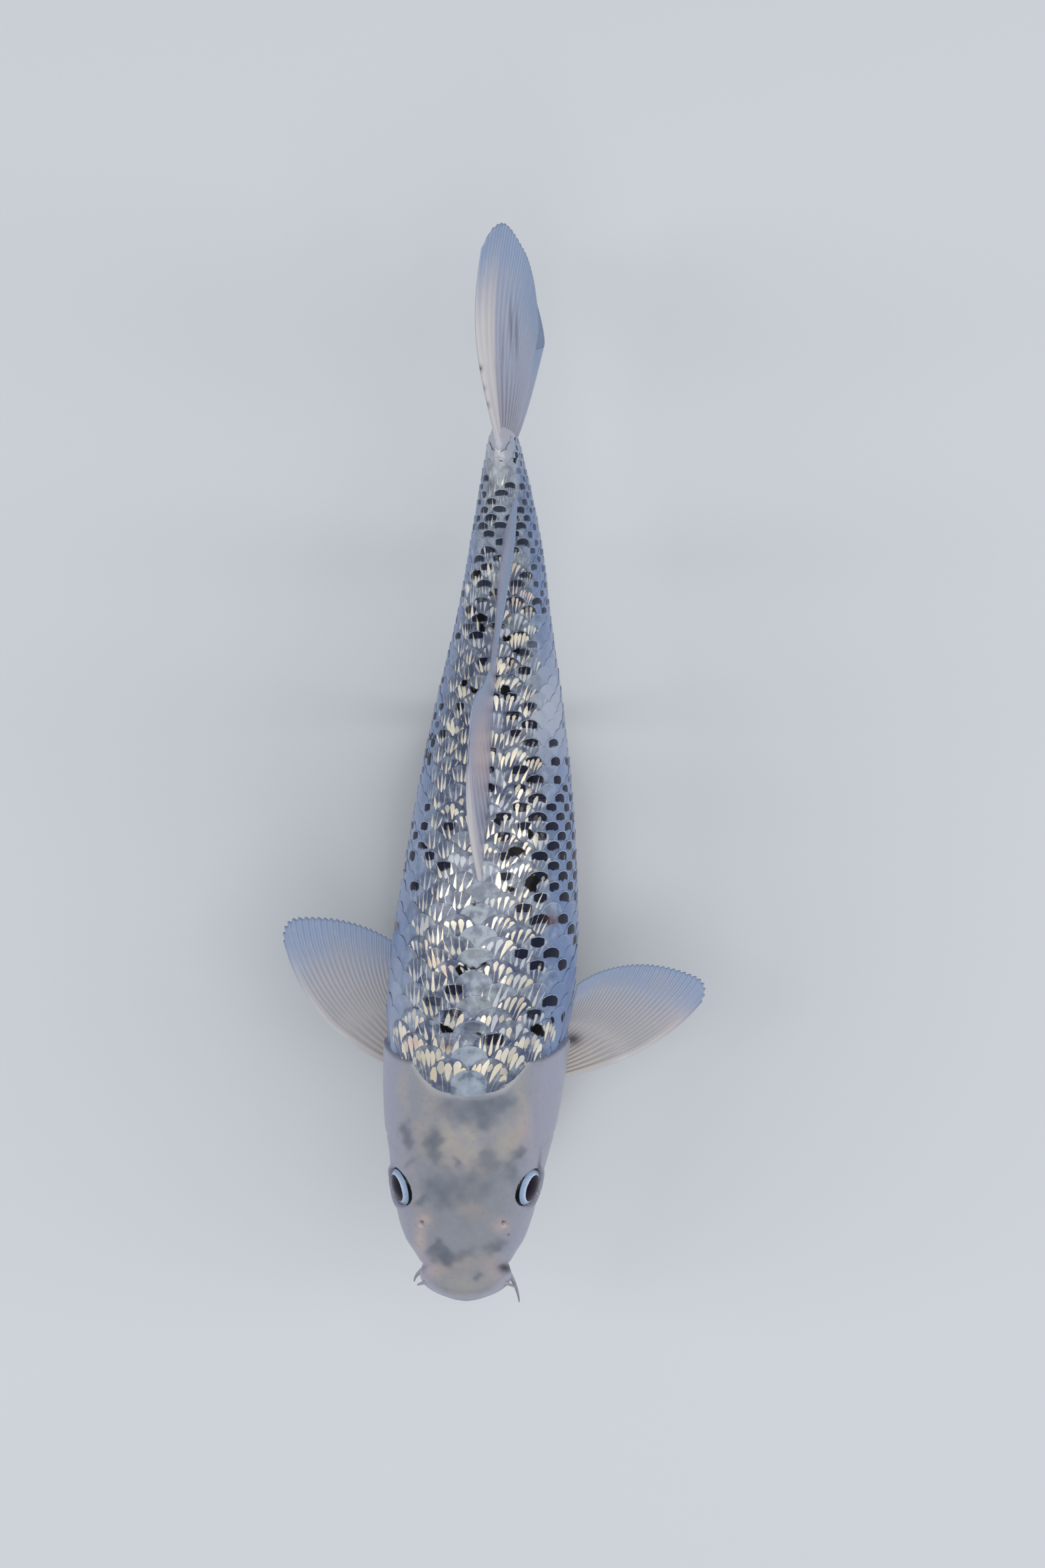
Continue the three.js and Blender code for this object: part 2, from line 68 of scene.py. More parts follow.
# The curves of the body are lists of [distance back, value].
SPINE_X = [
    [0, -12.7], [20, -12.9], [40, -12.9], [60, -11.9], [80, -10.4], [94, -9.6], [124, -7.4],
    [216, 0.1], [298, 4.7], [379, 8.4], [440, 7.4],
]
HALF_WIDTH = [
    [0, 1.5], [2, 8.5], [4.5, 15], [8, 20.4], [13, 23.4], [19, 23], [25, 26], [32, 30.4], [45, 34.8],
    [64, 38.4], [80, 41.6], [94, 44.4], [124, 47], [180, 47.5], [226, 43.6], [267, 38.6], [308, 32],
    [348, 24.3], [389, 18], [420, 12], [440, 7.5],
]
TOP = [
    [0, -12.5], [2, -8.5], [6, -4.5], [13, 0], [22, 7], [34, 15.5], [50, 25.5], [70, 35],
    [95, 44.5], [124, 53], [160, 60.5], [195, 64], [230, 63], [300, 51], [350, 40.5],
    [390, 31.5], [418, 27.5], [440, 28.5],
]
BOTTOM = [
    [0, -15.5], [2, -19], [6, -22.5], [13, -25.5], [24, -29], [45, -36.5], [70, -44],
    [95, -50.5], [124, -56.5], [160, -61.5], [200, -63.5], [245, -60.5], [295, -51],
    [345, -38.5], [390, -29], [418, -26], [440, -27.5],
]
WIDEST_AT = [[0, -14], [20, -13], [60, -9], [124, -5], [200, 0], [300, 2], [440, 0]]
TOP_POWER = [[0, 2.1], [25, 2.35], [60, 2.45], [110, 2.4], [200, 2.15], [440, 2]]
BOTTOM_POWER = [[0, 2.1], [60, 2.4], [200, 2.45], [330, 2.2], [440, 2]]
ROLL_DEGREES = [[0, 2.5], [90, 2.5], [160, 2.9], [220, 3.2], [300, 3.6], [380, 4.4], [440, 6.5]]

# The eyes: place, size of the ball, how far it is sunk and turned up and forwards in degrees,
# and how far the pupils look below the balls' own axes.
EYE = dict(at=60.2, height=14, radius=11.2, depth=6.6, sunk=4.2, tilt=25, ahead=17, gaze_down=0.14)
EYE_CREASE = 9.8  # radius of the crease between eyeball and rim
# the dark line in the eye's crease is painted shade
EYE_LINE = 9.7  # and of the dark line in it
EYE_SIDES = 96
MOUTH_LINE = [[0, -15.7], [4, -16.2], [10, -17.8], [21, -21.5], [26, -24]]
GILL_EDGE = [
    [-54, 98], [-46, 108], [-34, 120], [-18, 130.5], [-3, 135], [12, 133.5], [26, 130], [38, 126.5],
    [46, 125],
]  # [height, distance back] of the rear edge of the gill covers
GILL_TOP_LINE = [[82, 24], [95, 31.5], [108, 36], [123, 39.5]]
CHEEK_LINE = [[80, 22], [86, 8], [87.5, -6], [83, -22], [71, -35], [52, -37]]
SUBORBIT_LINE = [[44, -4], [54, -9], [66, -8.5], [77, 2]]
JAW_HINGE_LINE = [[24, -24], [34, -27], [44, -26], [50, -17]]
# Sutures of the head's sides: a line of [distance back, height], its depth and its half width.
SUTURES = [
    (CHEEK_LINE, 0.65, 1.2), (GILL_TOP_LINE, 0.45, 1.3),
    (SUBORBIT_LINE, 0.3, 1.1), (JAW_HINGE_LINE, 0.5, 1.2),
]
# Cleft and lips: [height over the mouth's line, rise, half width] and the two distances back
# between which they fade.
LIPS = [[0, -2.6, 0.8, 16, 21], [2.8, 0.8, 1.7, 12, 19], [-2.8, 0.7, 1.6, 11, 18]]
NOSTRILS = [[21.1, 42.0, 1.2, 1.8], [23.4, 35.6, 0.8, 0.9]]  # [to the side, back, half width, depth]
GILL_STEP_FROM = (-54, -44)  # heights between which the step behind the gill covers sets in
SHOULDER_DROP = 1.5  # depth of that step
SHOULDER_FADE = 9  # and the distance behind it over which it falls to about a third
# Over the nape, up to span to each side and more than above over the axis, the scales begin at
# a distance back of at plus bend times (distance to the side / span)^power.
NAPE = dict(at=108.5, span=29, bend=16.5, power=3.5, above=20)

# Fins: start and base are the distance back and length of the root line, half_base is half its
# height, root or sink is how deep it lies in the body, rise is the angle of the rays in degrees,
# thick and edge are thicknesses, and the rays are [share of the base, length].
DORSAL_FIN = dict(start=210, base=175, root=5, rise=24.5, thick=2.6, edge=0.5)
DORSAL_RAYS = [[0, 72], [0.04, 89], [0.1, 87], [0.18, 76], [0.3, 58], [0.5, 40], [0.8, 33], [1, 28]]
ANAL_FIN = dict(start=342, base=33, root=5, thick=2.4, edge=0.5)
ANAL_RAYS = [[0, 40], [0.12, 54], [0.35, 50], [0.7, 36], [1, 26]]
TAIL_FIN = dict(half_base=27, thick=3.2, edge=0.55)
# The lobes' edges, [share of the root line, value]: distance back, height and place to the left.
# bow is how far the outer rays bow to the right.
UPPER_LOBE = dict(
    sign=1, bow=5.5,
    back=[[0, 49], [0.2, 60], [0.45, 76], [0.7, 95], [0.86, 106], [0.95, 103], [1, 93]],
    height=[[0, 0], [0.2, 11], [0.45, 27], [0.7, 43], [0.86, 54], [0.95, 60], [1, 61]],
    left=[[0, 16], [0.2, 17.2], [0.45, 15.6], [0.6, 13], [0.7, 9.6], [0.86, 1], [0.95, -5.5], [1, -11]],
)
LOWER_LOBE = dict(
    sign=-1, bow=3.5,
    back=[[0, 48], [0.2, 52], [0.45, 71], [0.7, 91], [0.86, 104], [0.95, 101], [1, 91]],
    height=[[0, 0], [0.2, 11], [0.45, 27], [0.7, 43], [0.86, 54], [0.95, 60], [1, 61]],
    left=[[0, 16], [0.2, 20.4], [0.45, 17.5], [0.7, 11], [0.86, 4], [0.95, -1], [1, -4]],
)
# Paired fins: spread is the angle of the fan, sweep the angle back of its first ray, drop its
# fall and bow how far that ray sets out ahead of its end, all in degrees. chord is the length of
# the root, longer is added to length, camber lowers the middle of the first ray and tuck raises
# the last one.
PECTORAL = dict(length=110, spread=49, chord=17, thick=2.6, edge=0.5, sink=9)
PELVIC = dict(length=62, spread=52, chord=12, thick=2.4, edge=0.5, sink=7)
PAIRED_PLACES = {
    "pectoral_fin_left": (PECTORAL, dict(
        side=1, at=111, out=39.2, height=-35.7, sweep=26, drop=21, bow=20, longer=-6, camber=-5, tuck=2)),
    "pectoral_fin_right": (PECTORAL, dict(
        side=-1, at=112, out=32.5, height=-42, sweep=45.5, drop=7, bow=31, longer=3, camber=-5, tuck=2)),
    "pelvic_fin_left": (PELVIC, dict(
        side=1, at=216, out=15, height=-59, sweep=70, drop=20, bow=20, longer=0, camber=3, tuck=-4)),
    "pelvic_fin_right": (PELVIC, dict(
        side=-1, at=216, out=15, height=-59, sweep=70, drop=20, bow=20, longer=0, camber=3, tuck=-4)),
}
# Feelers: left and right are [outwards, ahead, down] from root to tip.
FEELERS = {
    "rear": dict(at=17, out=23.2, height=-15, root=1.7, tip=0.35, left=[3.7, 19, 11], right=[4.3, 9, 16]),
    "front": dict(at=10, out=21.7, height=-10, root=1.2, tip=0.3, left=[3.6, 3.5, 6], right=[3.2, 2.5, 6.5]),
}
FEELER_RINGS = 40
FEELER_SIDES = 20
STAND = dict(half_length=126, half_width=44, thick=14, round=2.5, rod=4, flange=10, flange_thick=3)
STAND_RODS = {"stand_rod_front": 138, "stand_rod_rear": 300}
FLANGE_ROUND = 0.8  # radius of a flange's upper edge
FLANGE_FILLET = 1.2  # and of the hollow between flange and rod
FLANGE_GAP = 0.3  # height of a flange's lower face over the base
ROD_IN_BELLY = 8  # how far a rod runs on above the belly's lowest line
STAND_SIDES = 160  # faces round the base
ROD_SIDES = 72
CAP_INSET = 20  # how far inside the base's edge its flat caps begin

# The camera stands over the middle of the fish, and its view is this tall at the body axis.
VIEW_X = 16.8
VIEW_AT = 264.5
VIEW_HEIGHT = 2600
VIEW_TALL = 798.5

# ---------------------------------------------------------------- markings, mm
# Each soft spot is [to the left, back, half width, half length, strength], in plan.
CLOUDS = [
    [-4.2, 96.8, 12.5, 8.5, 0.8], [-16.4, 99.0, 13.0, 7.0, 0.5], [-28.3, 80.1, 5.2, 8.5, 0.8],
    [-42.2, 85.9, 4.0, 6.4, 0.8], [-0.8, 72.0, 6.5, 8.0, 0.6], [-14.4, 58.0, 23.0, 13.0, 0.55],
    [15.5, 75.4, 3.1, 3.8, 0.7], [10.7, 67.2, 4.2, 5.8, 0.6], [-14.7, 71.3, 2.4, 2.0, 0.8],
    [-34.4, 53.6, 2.4, 3.0, 0.7], [-39.9, 71.3, 3.1, 3.1, 0.45], [-23.2, 23.4, 6.2, 4.3, 0.95],
    [-28.0, 28.9, 3.4, 4.0, 0.7], [-12.0, 24.8, 7.1, 4.0, 0.5], [3.6, 29.9, 5.8, 4.5, 0.7],
    [-5.6, 14.9, 3.1, 2.7, 0.5], [-11.7, 40.0, 15.6, 9.5, 0.22], [3.6, 103.0, 10.8, 6.0, 0.5],
    [-26.0, 58.0, 7.0, 8.0, 0.4], [-12.0, 108.0, 20.0, 6.0, 0.35],
]
CREAM_PATCHES = [
    [-21.5, 84.2, 4.8, 6.1, 0.8], [-9.3, 85.6, 4.4, 5.1, 0.8], [-7.6, 77.4, 6.1, 4.1, 0.5],
    [9.4, 81.5, 4.4, 11.5, 0.65], [16.5, 103.5, 3.4, 12.2, 0.55], [-43.9, 106.9, 2.7, 14.3, 0.7],
    [-11.7, 8.5, 15.6, 5.4, 0.5],
]
BLUSH_PATCHES = [
    [-35.4, 32.9, 3.1, 8.8, 0.9], [-33.4, 42.4, 4.1, 3.1, 0.8], [6.0, 39.7, 4.4, 4.1, 0.7],
    [-28.7, 17.0, 6.1, 4.8, 0.5], [1.9, 17.0, 6.1, 4.8, 0.5], [18.2, 90.0, 4.8, 10.2, 0.35],
]
INK_SPOTS = [
    [-21.9, 140.6, 3.7, 3.1, 1], [-20.5, 133.1, 2.4, 2.0, 0.9], [25.0, 139.2, 3.7, 3.1, 1],
    [21.9, 213.9, 4.4, 4.8, 1], [12.1, 210.8, 2.4, 1.7, 0.9], [7.7, 312.7, 2.7, 3.1, 1],
    [-7.9, 312.3, 2.7, 2.0, 0.8], [20.6, 266.5, 2.0, 3.1, 0.8], [4.3, 245.8, 2.7, 2.4, 0.9],
    [20.6, 239.0, 2.7, 2.7, 0.9], [14.1, 230.2, 5.1, 3.1, 1], [0.5, 263.8, 2.4, 2.0, 0.8],
    [-34.1, 232.6, 2.4, 2.0, 0.9], [-29.3, 288.9, 2.4, 2.0, 0.8], [-31.4, 279.1, 2.4, 2.0, 0.8],
    [-13.0, 315.7, 2.4, 2.0, 0.8], [-6.2, 372.1, 2.4, 1.7, 0.9], [-4.5, 349.3, 2.0, 2.7, 1],
    [-3.9, 343.9, 2.4, 2.0, 0.9], [9.0, 338.5, 3.1, 2.0, 0.8], [13.8, 332.7, 2.4, 2.0, 0.8],
    [-4.5, 203.0, 7.5, 2.4, 0.5], [-10.0, 171.8, 8.8, 2.7, 0.5], [-14.4, 169.8, 3.1, 2.4, 0.7],
    [-7.9, 136.5, 6.1, 3.1, 0.5], [-2.2, 172.8, 2.4, 2.7, 0.6], [-37.1, 213.2, 2.4, 2.0, 0.7],
    [-43.6, 220.7, 1.4, 2.4, 0.6], [-47.7, 202.0, 1.0, 2.0, 0.5], [32.5, 144.3, 1.4, 2.7, 0.8],
    [37.9, 146.3, 1.4, 2.7, 0.8], [5.6, 428.4, 2.7, 1.4, 0.6], [13.1, 429.5, 1.7, 1.7, 0.7],
]
RUST_SPOTS = [[32.1, 195.9, 3.1, 3.1, 1], [-47.7, 192.5, 1.7, 2.7, 0.9], [-22.5, 132.4, 3.1, 3.4, 0.5]]
DARK_REGIONS = [
    [35.0, 230.0, 15.0, 37.0, 1.2], [13.8, 268.2, 13.6, 56.0, 1.0], [-28.0, 280.1, 10.2, 42.0, 0.7],
    [3.9, 397.2, 14.3, 27.2, 1.0], [2.6, 351.4, 19.0, 27.2, 0.65], [-37.1, 222.4, 8.8, 20.4, 0.6],
    [-11.7, 134.1, 21.0, 20.4, 0.45], [-10.0, 174.8, 11.5, 30.6, 0.45], [22.3, 174.8, 13.6, 27.2, 0.6],
]
PALE_REGIONS = [
    [32.5, 298.8, 10.2, 27.2, 1.0], [4.6, 434.0, 13.0, 11.0, 1.0], [-49.0, 263.1, 10.2, 54.3, 0.6],
    [-49.0, 154.5, 4.8, 20.4, 0.6],
]
TAIL_STREAKS = [
    [10.4, 498.4, 0.8, 12.0, 0.55], [13.2, 494.0, 0.8, 13.0, 0.5], [6.0, 487.2, 0.8, 11.0, 0.25],
    [-5.0, 476.0, 1.1, 1.5, 0.9], [-3.7, 465.8, 1.1, 1.5, 0.9], [-1.6, 457.3, 1.1, 1.5, 0.8],
]
BACK_FIN_BLUSH = [[-4.9, 281, 4.5, 22, 0.55]]
PECTORAL_BLUSH = [[100, 140, 14, 10, 0.3]]
PECTORAL_INK = [[42.0, 134.5, 4.5, 3.2, 0.95]]

# ---------------------------------------------------------------- scales and meshes
SCALE_PITCH = [  # [distance back, distance between two scales of a row]
    [100, 12.6], [150, 12.4], [200, 10.8], [250, 9.4], [340, 8.8], [420, 7.9], [452, 7.7],
]
ROWS_FRONT = 8  # rows from the lateral line to the ridge of the back, and to the belly
ROWS_REAR = 6
ROWS_RUN_OUT = (222, 390)  # distances back between which the one number falls to the other
RIDGE_SPACING = 0.95  # row spacing on the two ridges over that beside them
SCALES_END = 431
SCALES_END_BOW = 10  # how much further back they end half way up the sides
SCALE_COLUMNS = 8  # faces across one scale
SCALE_STEPS = [0, 0.3, 0.55, 0.75, 0.9, 1]  # places of its rings of points from root to margin
SCALE_ARC = 82  # degrees to each side that the arc of its free margin takes up
SCALE_AHEAD = 0.66  # share of its length in front of its place in the row
SCALE_SEED = 11
SCALE_PATCH = 0.003  # width of one scale's patch on the map for baked colours
MAP_START = 75  # distance back where that map begins
MAP_MARGIN = 0.02  # and the share of it kept free along its edges

SURFACE_START = 80  # distance back where the table for laying scales begins
SURFACE_COLUMNS = 56  # its columns in each quarter of the body
SKIN_ABOVE = 62  # faces of the skin in each quarter above the lateral line
SKIN_BELOW = 44
SKIN_STEP_HEAD = 0.85  # distance between rings of the skin along its outline
SKIN_STEP_BODY = 2.4
SKIN_FINE_UNTIL = 146  # distance back where the one step gives way to the other
SKIN_INSET = 0.25  # how far bare skin lies inside the body's outline
SKIN_NODES = [
    "head", "gill_cover_left", "gill_cover_right", "upper_lip", "lower_jaw",
    "trunk_front", "trunk_middle", "trunk_rear", "tail_stalk",
]
FIRST_BRANCH = (0.35, 0.55)  # shares of a fin ray's length over which it branches in two
SECOND_BRANCH = (0.72, 0.9)
RAY_HEIGHT = 0.34  # how much the rays add to a fin's thickness near its root


# ---------------------------------------------------------------- small helpers
def curve(stations):
    """A smooth curve through [place, value] stations: cubic Hermite pieces whose slope at a
    station is the slope of the line through its two neighbours."""
    place, value = np.array(stations, float).T
    low = np.maximum(np.arange(len(place)) - 1, 0)
    high = np.minimum(np.arange(len(place)) + 1, len(place) - 1)
    slope = (value[high] - value[low]) / (place[high] - place[low])

    def read(x):
        x = np.clip(x, place[0], place[-1])
        i = np.clip(np.searchsorted(place, x, side="right") - 1, 0, len(place) - 2)
        step = place[i + 1] - place[i]
        f = (x - place[i]) / step
        f2, f3 = f * f, f * f * f
        return (
            value[i] * (2 * f3 - 3 * f2 + 1)
            + value[i + 1] * (3 * f2 - 2 * f3)
            + step * (slope[i] * (f3 - 2 * f2 + f) + slope[i + 1] * (f3 - f2))
        )

    return read


spine_x = curve(SPINE_X)
half_width = curve(HALF_WIDTH)
top = curve(TOP)
bottom = curve(BOTTOM)
widest_at = curve(WIDEST_AT)
top_power = curve(TOP_POWER)
bottom_power = curve(BOTTOM_POWER)
roll_degrees = curve(ROLL_DEGREES)
mouth_line = curve(MOUTH_LINE)
gill_edge = curve(GILL_EDGE)
scale_pitch = curve(SCALE_PITCH)


def wide_at(at):
    """Half width of the body, held at its last value behind the body's end."""
    return half_width(np.minimum(at, BODY_LENGTH))


def mix(low, high, share):
    return low + (high - low) * share


def ease(value, low, high):
    """0 up to low, 1 from high on, and 3t^2 - 2t^3 between them."""
    t = np.clip((value - low) / (high - low), 0, 1)
    return t * t * (3 - 2 * t)


def bell(distance, width):
    """A bell of height 1: e to the minus square of distance over width."""
    return np.exp(-((distance / width) ** 2))


def soft_spots(spots, x, at, sharp=1):
    """The joint strength of several soft spots. Each falls off as e to the minus (squared
    elliptic distance to the power sharp), and they join as 1 - (1 - a)(1 - b)."""
    left = np.ones_like(x)
    for across, back, wide, long, strength in spots:
        reach = ((x - across) / wide) ** 2 + ((at - back) / long) ** 2
        left = left * (1 - strength * np.exp(-(reach**sharp)))
    return 1 - left


def warped(x, at):
    """Places moved by about 2 mm at most by sums of sines, so that soft spots lose their round
    shape."""
    return (
        x + 1.3 * np.sin(0.33 * at + 0.21 * x) + 0.8 * np.sin(0.9 * at - 0.5 * x),
        at + 1.3 * np.sin(0.37 * x - 0.18 * at) + 0.8 * np.sin(0.8 * x + 0.6 * at),
    )


def from_line(line, a, b):
    """Least distance of the points (a, b) from the straight pieces of an open line."""
    least = np.full(np.broadcast(a, b).shape, 1e9)
    for (a0, b0), (a1, b1) in zip(line, line[1:]):
        run, rise = a1 - a0, b1 - b0
        share = np.clip(((a - a0) * run + (b - b0) * rise) / (run * run + rise * rise), 0, 1)
        least = np.minimum(least, np.hypot(a - a0 - share * run, b - b0 - share * rise))
    return least


def to_frame(points):
    """Millimetres of the fish's frame to metres of the part's frame."""
    return (points + np.array([0, -BALANCE_AT, AXIS_HEIGHT])) * MM


def on_spine(at, x, z):
    """A point of the upright section turned by the spine's roll and moved onto the spine."""
    roll = np.radians(roll_degrees(at))
    x, z = x + 0 * at, z + 0 * at
    left = spine_x(at) + x * np.cos(roll) - z * np.sin(roll)
    return np.stack([left, at + 0 * x, x * np.sin(roll) + z * np.cos(roll)], -1)


def plan(points):
    """Where points fall on the level plane of the body axis along lines from a point straight
    above it: the offset grows as view height over (view height - z)."""
    grow = VIEW_HEIGHT / (VIEW_HEIGHT - points[..., 2])
    return VIEW_X + (points[..., 0] - VIEW_X) * grow, VIEW_AT + (points[..., 1] - VIEW_AT) * grow


def normals_of(points, wrap=False):
    """Unit normals of a grid of points: the cross product of its differences along rows and
    across them. wrap says that the last column meets the first."""
    along = np.gradient(points, axis=0)
    if wrap:
        padded = np.concatenate([points[:, -1:], points, points[:, :1]], 1)
        across = padded[:, 2:] - padded[:, :-2]
    else:
        across = np.gradient(points, axis=1)
    normal = np.cross(along, across)
    return normal / np.maximum(np.linalg.norm(normal, axis=-1, keepdims=True), 1e-12)


def grid_quads(rows, columns, wrap=False):
    """Corners of the quads of a grid of points numbered row by row."""
    row = np.arange(rows - 1)[:, None] * columns
    column = np.arange(columns if wrap else columns - 1)[None, :]
    after = (column + 1) % columns
    corners = np.broadcast_arrays(row + column, row + after, row + columns + after, row + columns + column)
    return np.stack(corners, -1).reshape(-1, 4)


def closed_tube(rings, ends):
    """Points and faces of a tube: a grid of points by ring and place round it, and a fan of
    triangles from its first and last ring to the two end points."""
    rows, sides = rings.shape[:2]
    points = np.concatenate([rings.reshape(-1, 3), np.stack(ends)])
    here = np.arange(sides)
    after = (here + 1) % sides
    first, last = np.full(sides, rows * sides), (rows - 1) * sides
    faces = grid_quads(rows, sides, wrap=True).tolist()
    faces += np.stack([first, here, after], -1).tolist()
    faces += np.stack([first + 1, last + after, last + here], -1).tolist()
    return points, faces


def add_piece(name, points, faces, material, replaced, attributes=(), maps=(), sharp=None):
    """Puts points in metres and faces into a new object, turns its faces outwards, and gives
    it point attributes, UV maps held per point, a material and its place in the frame."""
    mesh = bpy.data.meshes.new(name)
    mesh.from_pydata(points.reshape(-1, 3).tolist(), [], faces)
    work = bmesh.new()
    work.from_mesh(mesh)
    bmesh.ops.recalc_face_normals(work, faces=work.faces[:])
    work.to_mesh(mesh)
    work.free()
    corners = np.empty(len(mesh.loops), np.int32)
    mesh.loops.foreach_get("vertex_index", corners)
    for key, values in dict(maps).items():
        layer = mesh.uv_layers.new(name=key)
        layer.data.foreach_set("uv", values.reshape(-1, 2)[corners].astype(np.float32).ravel())
    for key, values in dict(attributes).items():
        stored = mesh.attributes.new(key, "FLOAT", "POINT")
        stored.data.foreach_set("value", np.asarray(values, np.float32).ravel())
    mesh.shade_smooth()
    if sharp:
        mesh.set_sharp_from_angle(angle=math.radians(sharp))
    mesh.materials.append(material)
    piece = bpy.data.objects.new(name, mesh)
    bpy.context.scene.collection.objects.link(piece)
    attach(piece, "root")
    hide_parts(*replaced)
    return piece


# ---------------------------------------------------------------- the body surface
def section(at, turn):
    """A superellipse: half width and height times the cosine and sine of turn, each to the
    power 2/p. Behind the body's end the width closes in a wedge over the tail fin's root."""
    c, s = np.cos(turn), np.sin(turn)
    over = s >= 0
    here = np.minimum(at, BODY_LENGTH)
    past = np.clip((at - BODY_LENGTH) / TAIL_WEDGE, 0, 1)
    power = 2 / np.where(over, top_power(here), bottom_power(here))
    middle = widest_at(here)
    tall = np.where(over, top(here) - middle, middle - bottom(here)) * (1 - 0.08 * past**2)
    wide = half_width(here) * (1 - past) ** 0.8 + 1.3 * past
    wide = half_width(here) * (1 - past) ** 0.8 + WEDGE_EDGE * past
    return wide * np.sign(c) * np.abs(c) ** power, middle + tall * np.sign(s) * np.abs(s) ** power


def body_grid(at, u):
    """Points of the body for each distance back in at and each place round it in u, where u
    is 0 on the fish's left, 1 on the back, 2 on its right and 3 on the belly, and runs evenly
    with arc length inside each quarter. Returns local x and z, and the quarters' arc lengths."""
    share = np.linspace(0, 1, 121)
    turns = (np.arange(4)[:, None] + share) * np.pi / 2
    x, z = section(at[:, None, None], turns[None])
    run = np.cumsum(np.hypot(np.diff(x), np.diff(z)), -1)
    length = run[..., -1]
    run = np.concatenate([np.zeros_like(length)[..., None], run / length[..., None]], -1)
    shelf = np.arange(run[..., 0].size).reshape(len(at), 4) * 2.0
    quarter = np.floor(u).astype(int) % 4
    wanted = (u - np.floor(u))[None] + shelf[:, quarter]
    stacked = np.broadcast_to(turns, run.shape)
    turn = np.interp(wanted.ravel(), (run + shelf[..., None]).ravel(), stacked.ravel())
    x, z = section(at[:, None], turn.reshape(len(at), len(u)))
    return x, z, length


def behind_scale_front(at, x, z):
    """How far a point lies behind the line where the scales begin: the gill covers' rear edge
    at the sides, and over the nape an arc that bends back towards the sides."""
    side = np.abs(x)
    nape = NAPE["at"] + NAPE["bend"] * (side / NAPE["span"]) ** NAPE["power"]
    return at - np.where((z > NAPE["above"]) & (side < NAPE["span"]), nape, gill_edge(z))


def scales_end(at, x):
    """Where the scales end on the tail stalk: further back towards the sides, with the square
    of the share of the half width."""
    return SCALES_END + SCALES_END_BOW * (x / wide_at(at)) ** 2


def shoulder_drop(at, x, z):
    """The step down behind the gill covers, in mm: it falls as e to the minus distance back."""
    behind = at - gill_edge(z)
    held = ease(z, *GILL_STEP_FROM) * (1 - ease(z, 36, 45)) * ease(np.abs(x), 12, 20)
    return held * np.where(behind > 0, SHOULDER_DROP * np.exp(-np.maximum(behind, 0) / SHOULDER_FADE), 0)


def behind_lip(at, side):
    """How far a point lies behind the groove round the upper lip, a bow that bends back with
    the sideways distance^2.4."""
    return at - 4.6 - 11.5 * (side / 22) ** 2.4


def eye_places():
    """Centre and look direction of each eye, in the fish's frame."""
    share = (EYE["height"] - widest_at(EYE["at"])) / (top(EYE["at"]) - widest_at(EYE["at"]))
    power = top_power(EYE["at"])
    wide = half_width(EYE["at"]) * (1 - share**power) ** (1 / power)
    tip, ahead = math.radians(EYE["tilt"]), math.radians(EYE["ahead"])
    roll = math.radians(roll_degrees(EYE["at"]))
    places = {}
    for name, side in SIDES.items():
        x, z = side * math.cos(tip) * math.cos(ahead), math.sin(tip)
        look = np.array([
            x * math.cos(roll) - z * math.sin(roll), -math.cos(tip) * math.sin(ahead),
            x * math.sin(roll) + z * math.cos(roll),
        ])
        on_head = on_spine(np.float64(EYE["at"]), side * wide, np.float64(EYE["height"]))
        places[name] = (on_head - look * EYE["sunk"], look)
    return places


def from_eye(points):
    """How far points lie from the nearer eye's look axis, on the outer side."""
    nearest = np.full(points.shape[:-1], 99.0)
    for centre, look in eye_places().values():
        offset = points - centre
        ahead = offset @ look
        out = np.sqrt(np.maximum((offset**2).sum(-1) - ahead**2, 0))
        nearest = np.where(ahead > 0, np.minimum(nearest, out), nearest)
    return nearest


